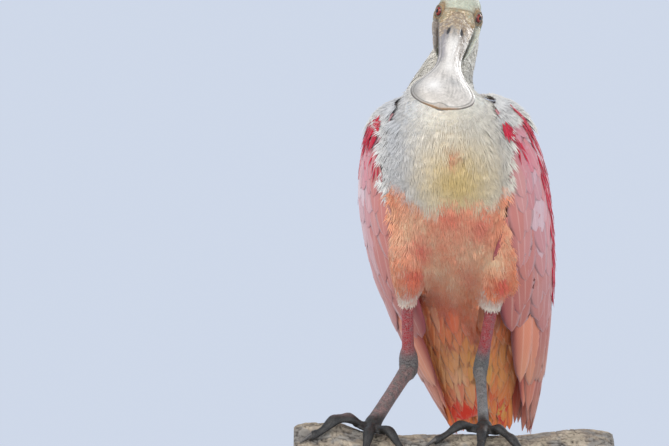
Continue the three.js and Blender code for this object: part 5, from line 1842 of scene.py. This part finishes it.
def woodLook():
    look = Look("darkWood")
    grainWay = look.place((1.0, 14.0, 14.0))
    grain = look.noise(9.0, 8.0, 0.65, grainWay, 1.2)
    pores = look.noise(90.0, 3.0, 0.6, look.place((0.6, 9.0, 9.0)))
    shade = look.mix(look.spread(grain, 0.3, 0.7), "#1d1512", "#46332a")
    shade = look.mix(look.spread(pores, 0.55, 0.7, 0.0, 0.5), shade, "#120c0a")
    look.set(Base_Color=shade, Roughness=look.spread(grain, 0.3, 0.7, 0.32, 0.5), Coat_Weight=0.15,
             Coat_Roughness=0.25)
    look.put(look.shader, "Normal", look.bump(pores, 0.0003, 0.35))
    return look.material


def steelLook():
    look = Look("brushedSteel")
    brushed = look.noise(60.0, 4.0, 0.6, look.place((1.0, 1.0, 26.0)))
    shade = look.mix(look.spread(brushed, 0.3, 0.7), "#9a9c9f", "#c4c6c9")
    look.set(Base_Color=shade, Metallic=1.0, Roughness=look.spread(brushed, 0.3, 0.7, 0.24, 0.42))
    return look.material


plate = addPiece("stand_plate", plateMesh(), woodLook(), "stand_base", "stand_base")
for polygon in plate.data.polygons:
    polygon.use_smooth = False
steelMaterial = steelLook()
for side, name in bothSides:
    addPiece(f"stand_post_{name}", rodMesh(side), steelMaterial, "stand_rod", f"stand_rod_{name}")


# Room: a pale floor, soft lights and the camera

def roomLook():
    look = Look("paleFloor")
    cloud = look.noise(1.5, 3.0)
    look.set(Base_Color=look.mix(cloud, "#dfe3e8", "#eceef0"), Roughness=0.8)
    return look.material


corners = np.array([(-8, -8, 0), (8, -8, 0), (8, 8, 0), (-8, 8, 0)])
floor = makeObject("floor", meshFrom("floor", corners, np.array([[0, 1, 2, 3]]), False))
floor.data.materials.append(roomLook())

world = bpy.data.worlds.new("studio")
bpy.context.scene.world = world
world.use_nodes = True
background = world.node_tree.nodes["Background"]
background.inputs["Color"].default_value = (0.74, 0.82, 0.97, 1)
background.inputs["Strength"].default_value = 0.84

studio = {  # place, size, power and tint of each lamp
    "key": ((-1.3, -2.5, 1.8), 1.8, 56.0, (1.0, 0.97, 0.94)),
    "fill": ((1.9, -2.2, 0.9), 2.0, 30.0, (0.95, 0.97, 1.0)),
    "rim": ((0.9, 2.3, 1.9), 1.4, 30.0, (1.0, 0.98, 0.95)),
}
for name, (place, size, power, tint) in studio.items():
    lamp = bpy.data.lights.new(name, "AREA")
    lamp.size, lamp.energy, lamp.color = size, power, tint
    made = bpy.data.objects.new(name, lamp)
    made.location = place
    made.rotation_euler = (Vector((0, 0, 0.38)) - Vector(place)).to_track_quat("-Z", "Y").to_euler()
    bpy.context.scene.collection.objects.link(made)

view = {  # the camera looks along -back from this far; the picture's middle lies beside and above the feet
    "back": Vector((0.1556, -0.9823, -0.1045)), "right": Vector((0.9877, 0.1564, 0)),
    "up": Vector((0.0163, -0.1032, 0.9945)), "away": 2.6, "aside": -0.1043, "above": 0.188,
    "acrossPicture": 0.5887, "sensor": 36,
}
camera = bpy.data.objects.new("camera", bpy.data.cameras.new("camera"))
bpy.context.scene.collection.objects.link(camera)
target = Vector(toWorld((0, 0, 0))) + view["right"] * view["aside"] + view["up"] * view["above"]
camera.location = target + view["back"].normalized() * view["away"]
camera.rotation_euler = view["back"].to_track_quat("Z", "Y").to_euler()
camera.data.sensor_width = view["sensor"]
camera.data.lens = view["sensor"] * view["away"] / view["acrossPicture"]
camera.data.clip_start = 0.05
bpy.context.scene.camera = camera
bpy.context.scene.view_settings.view_transform = "Standard"
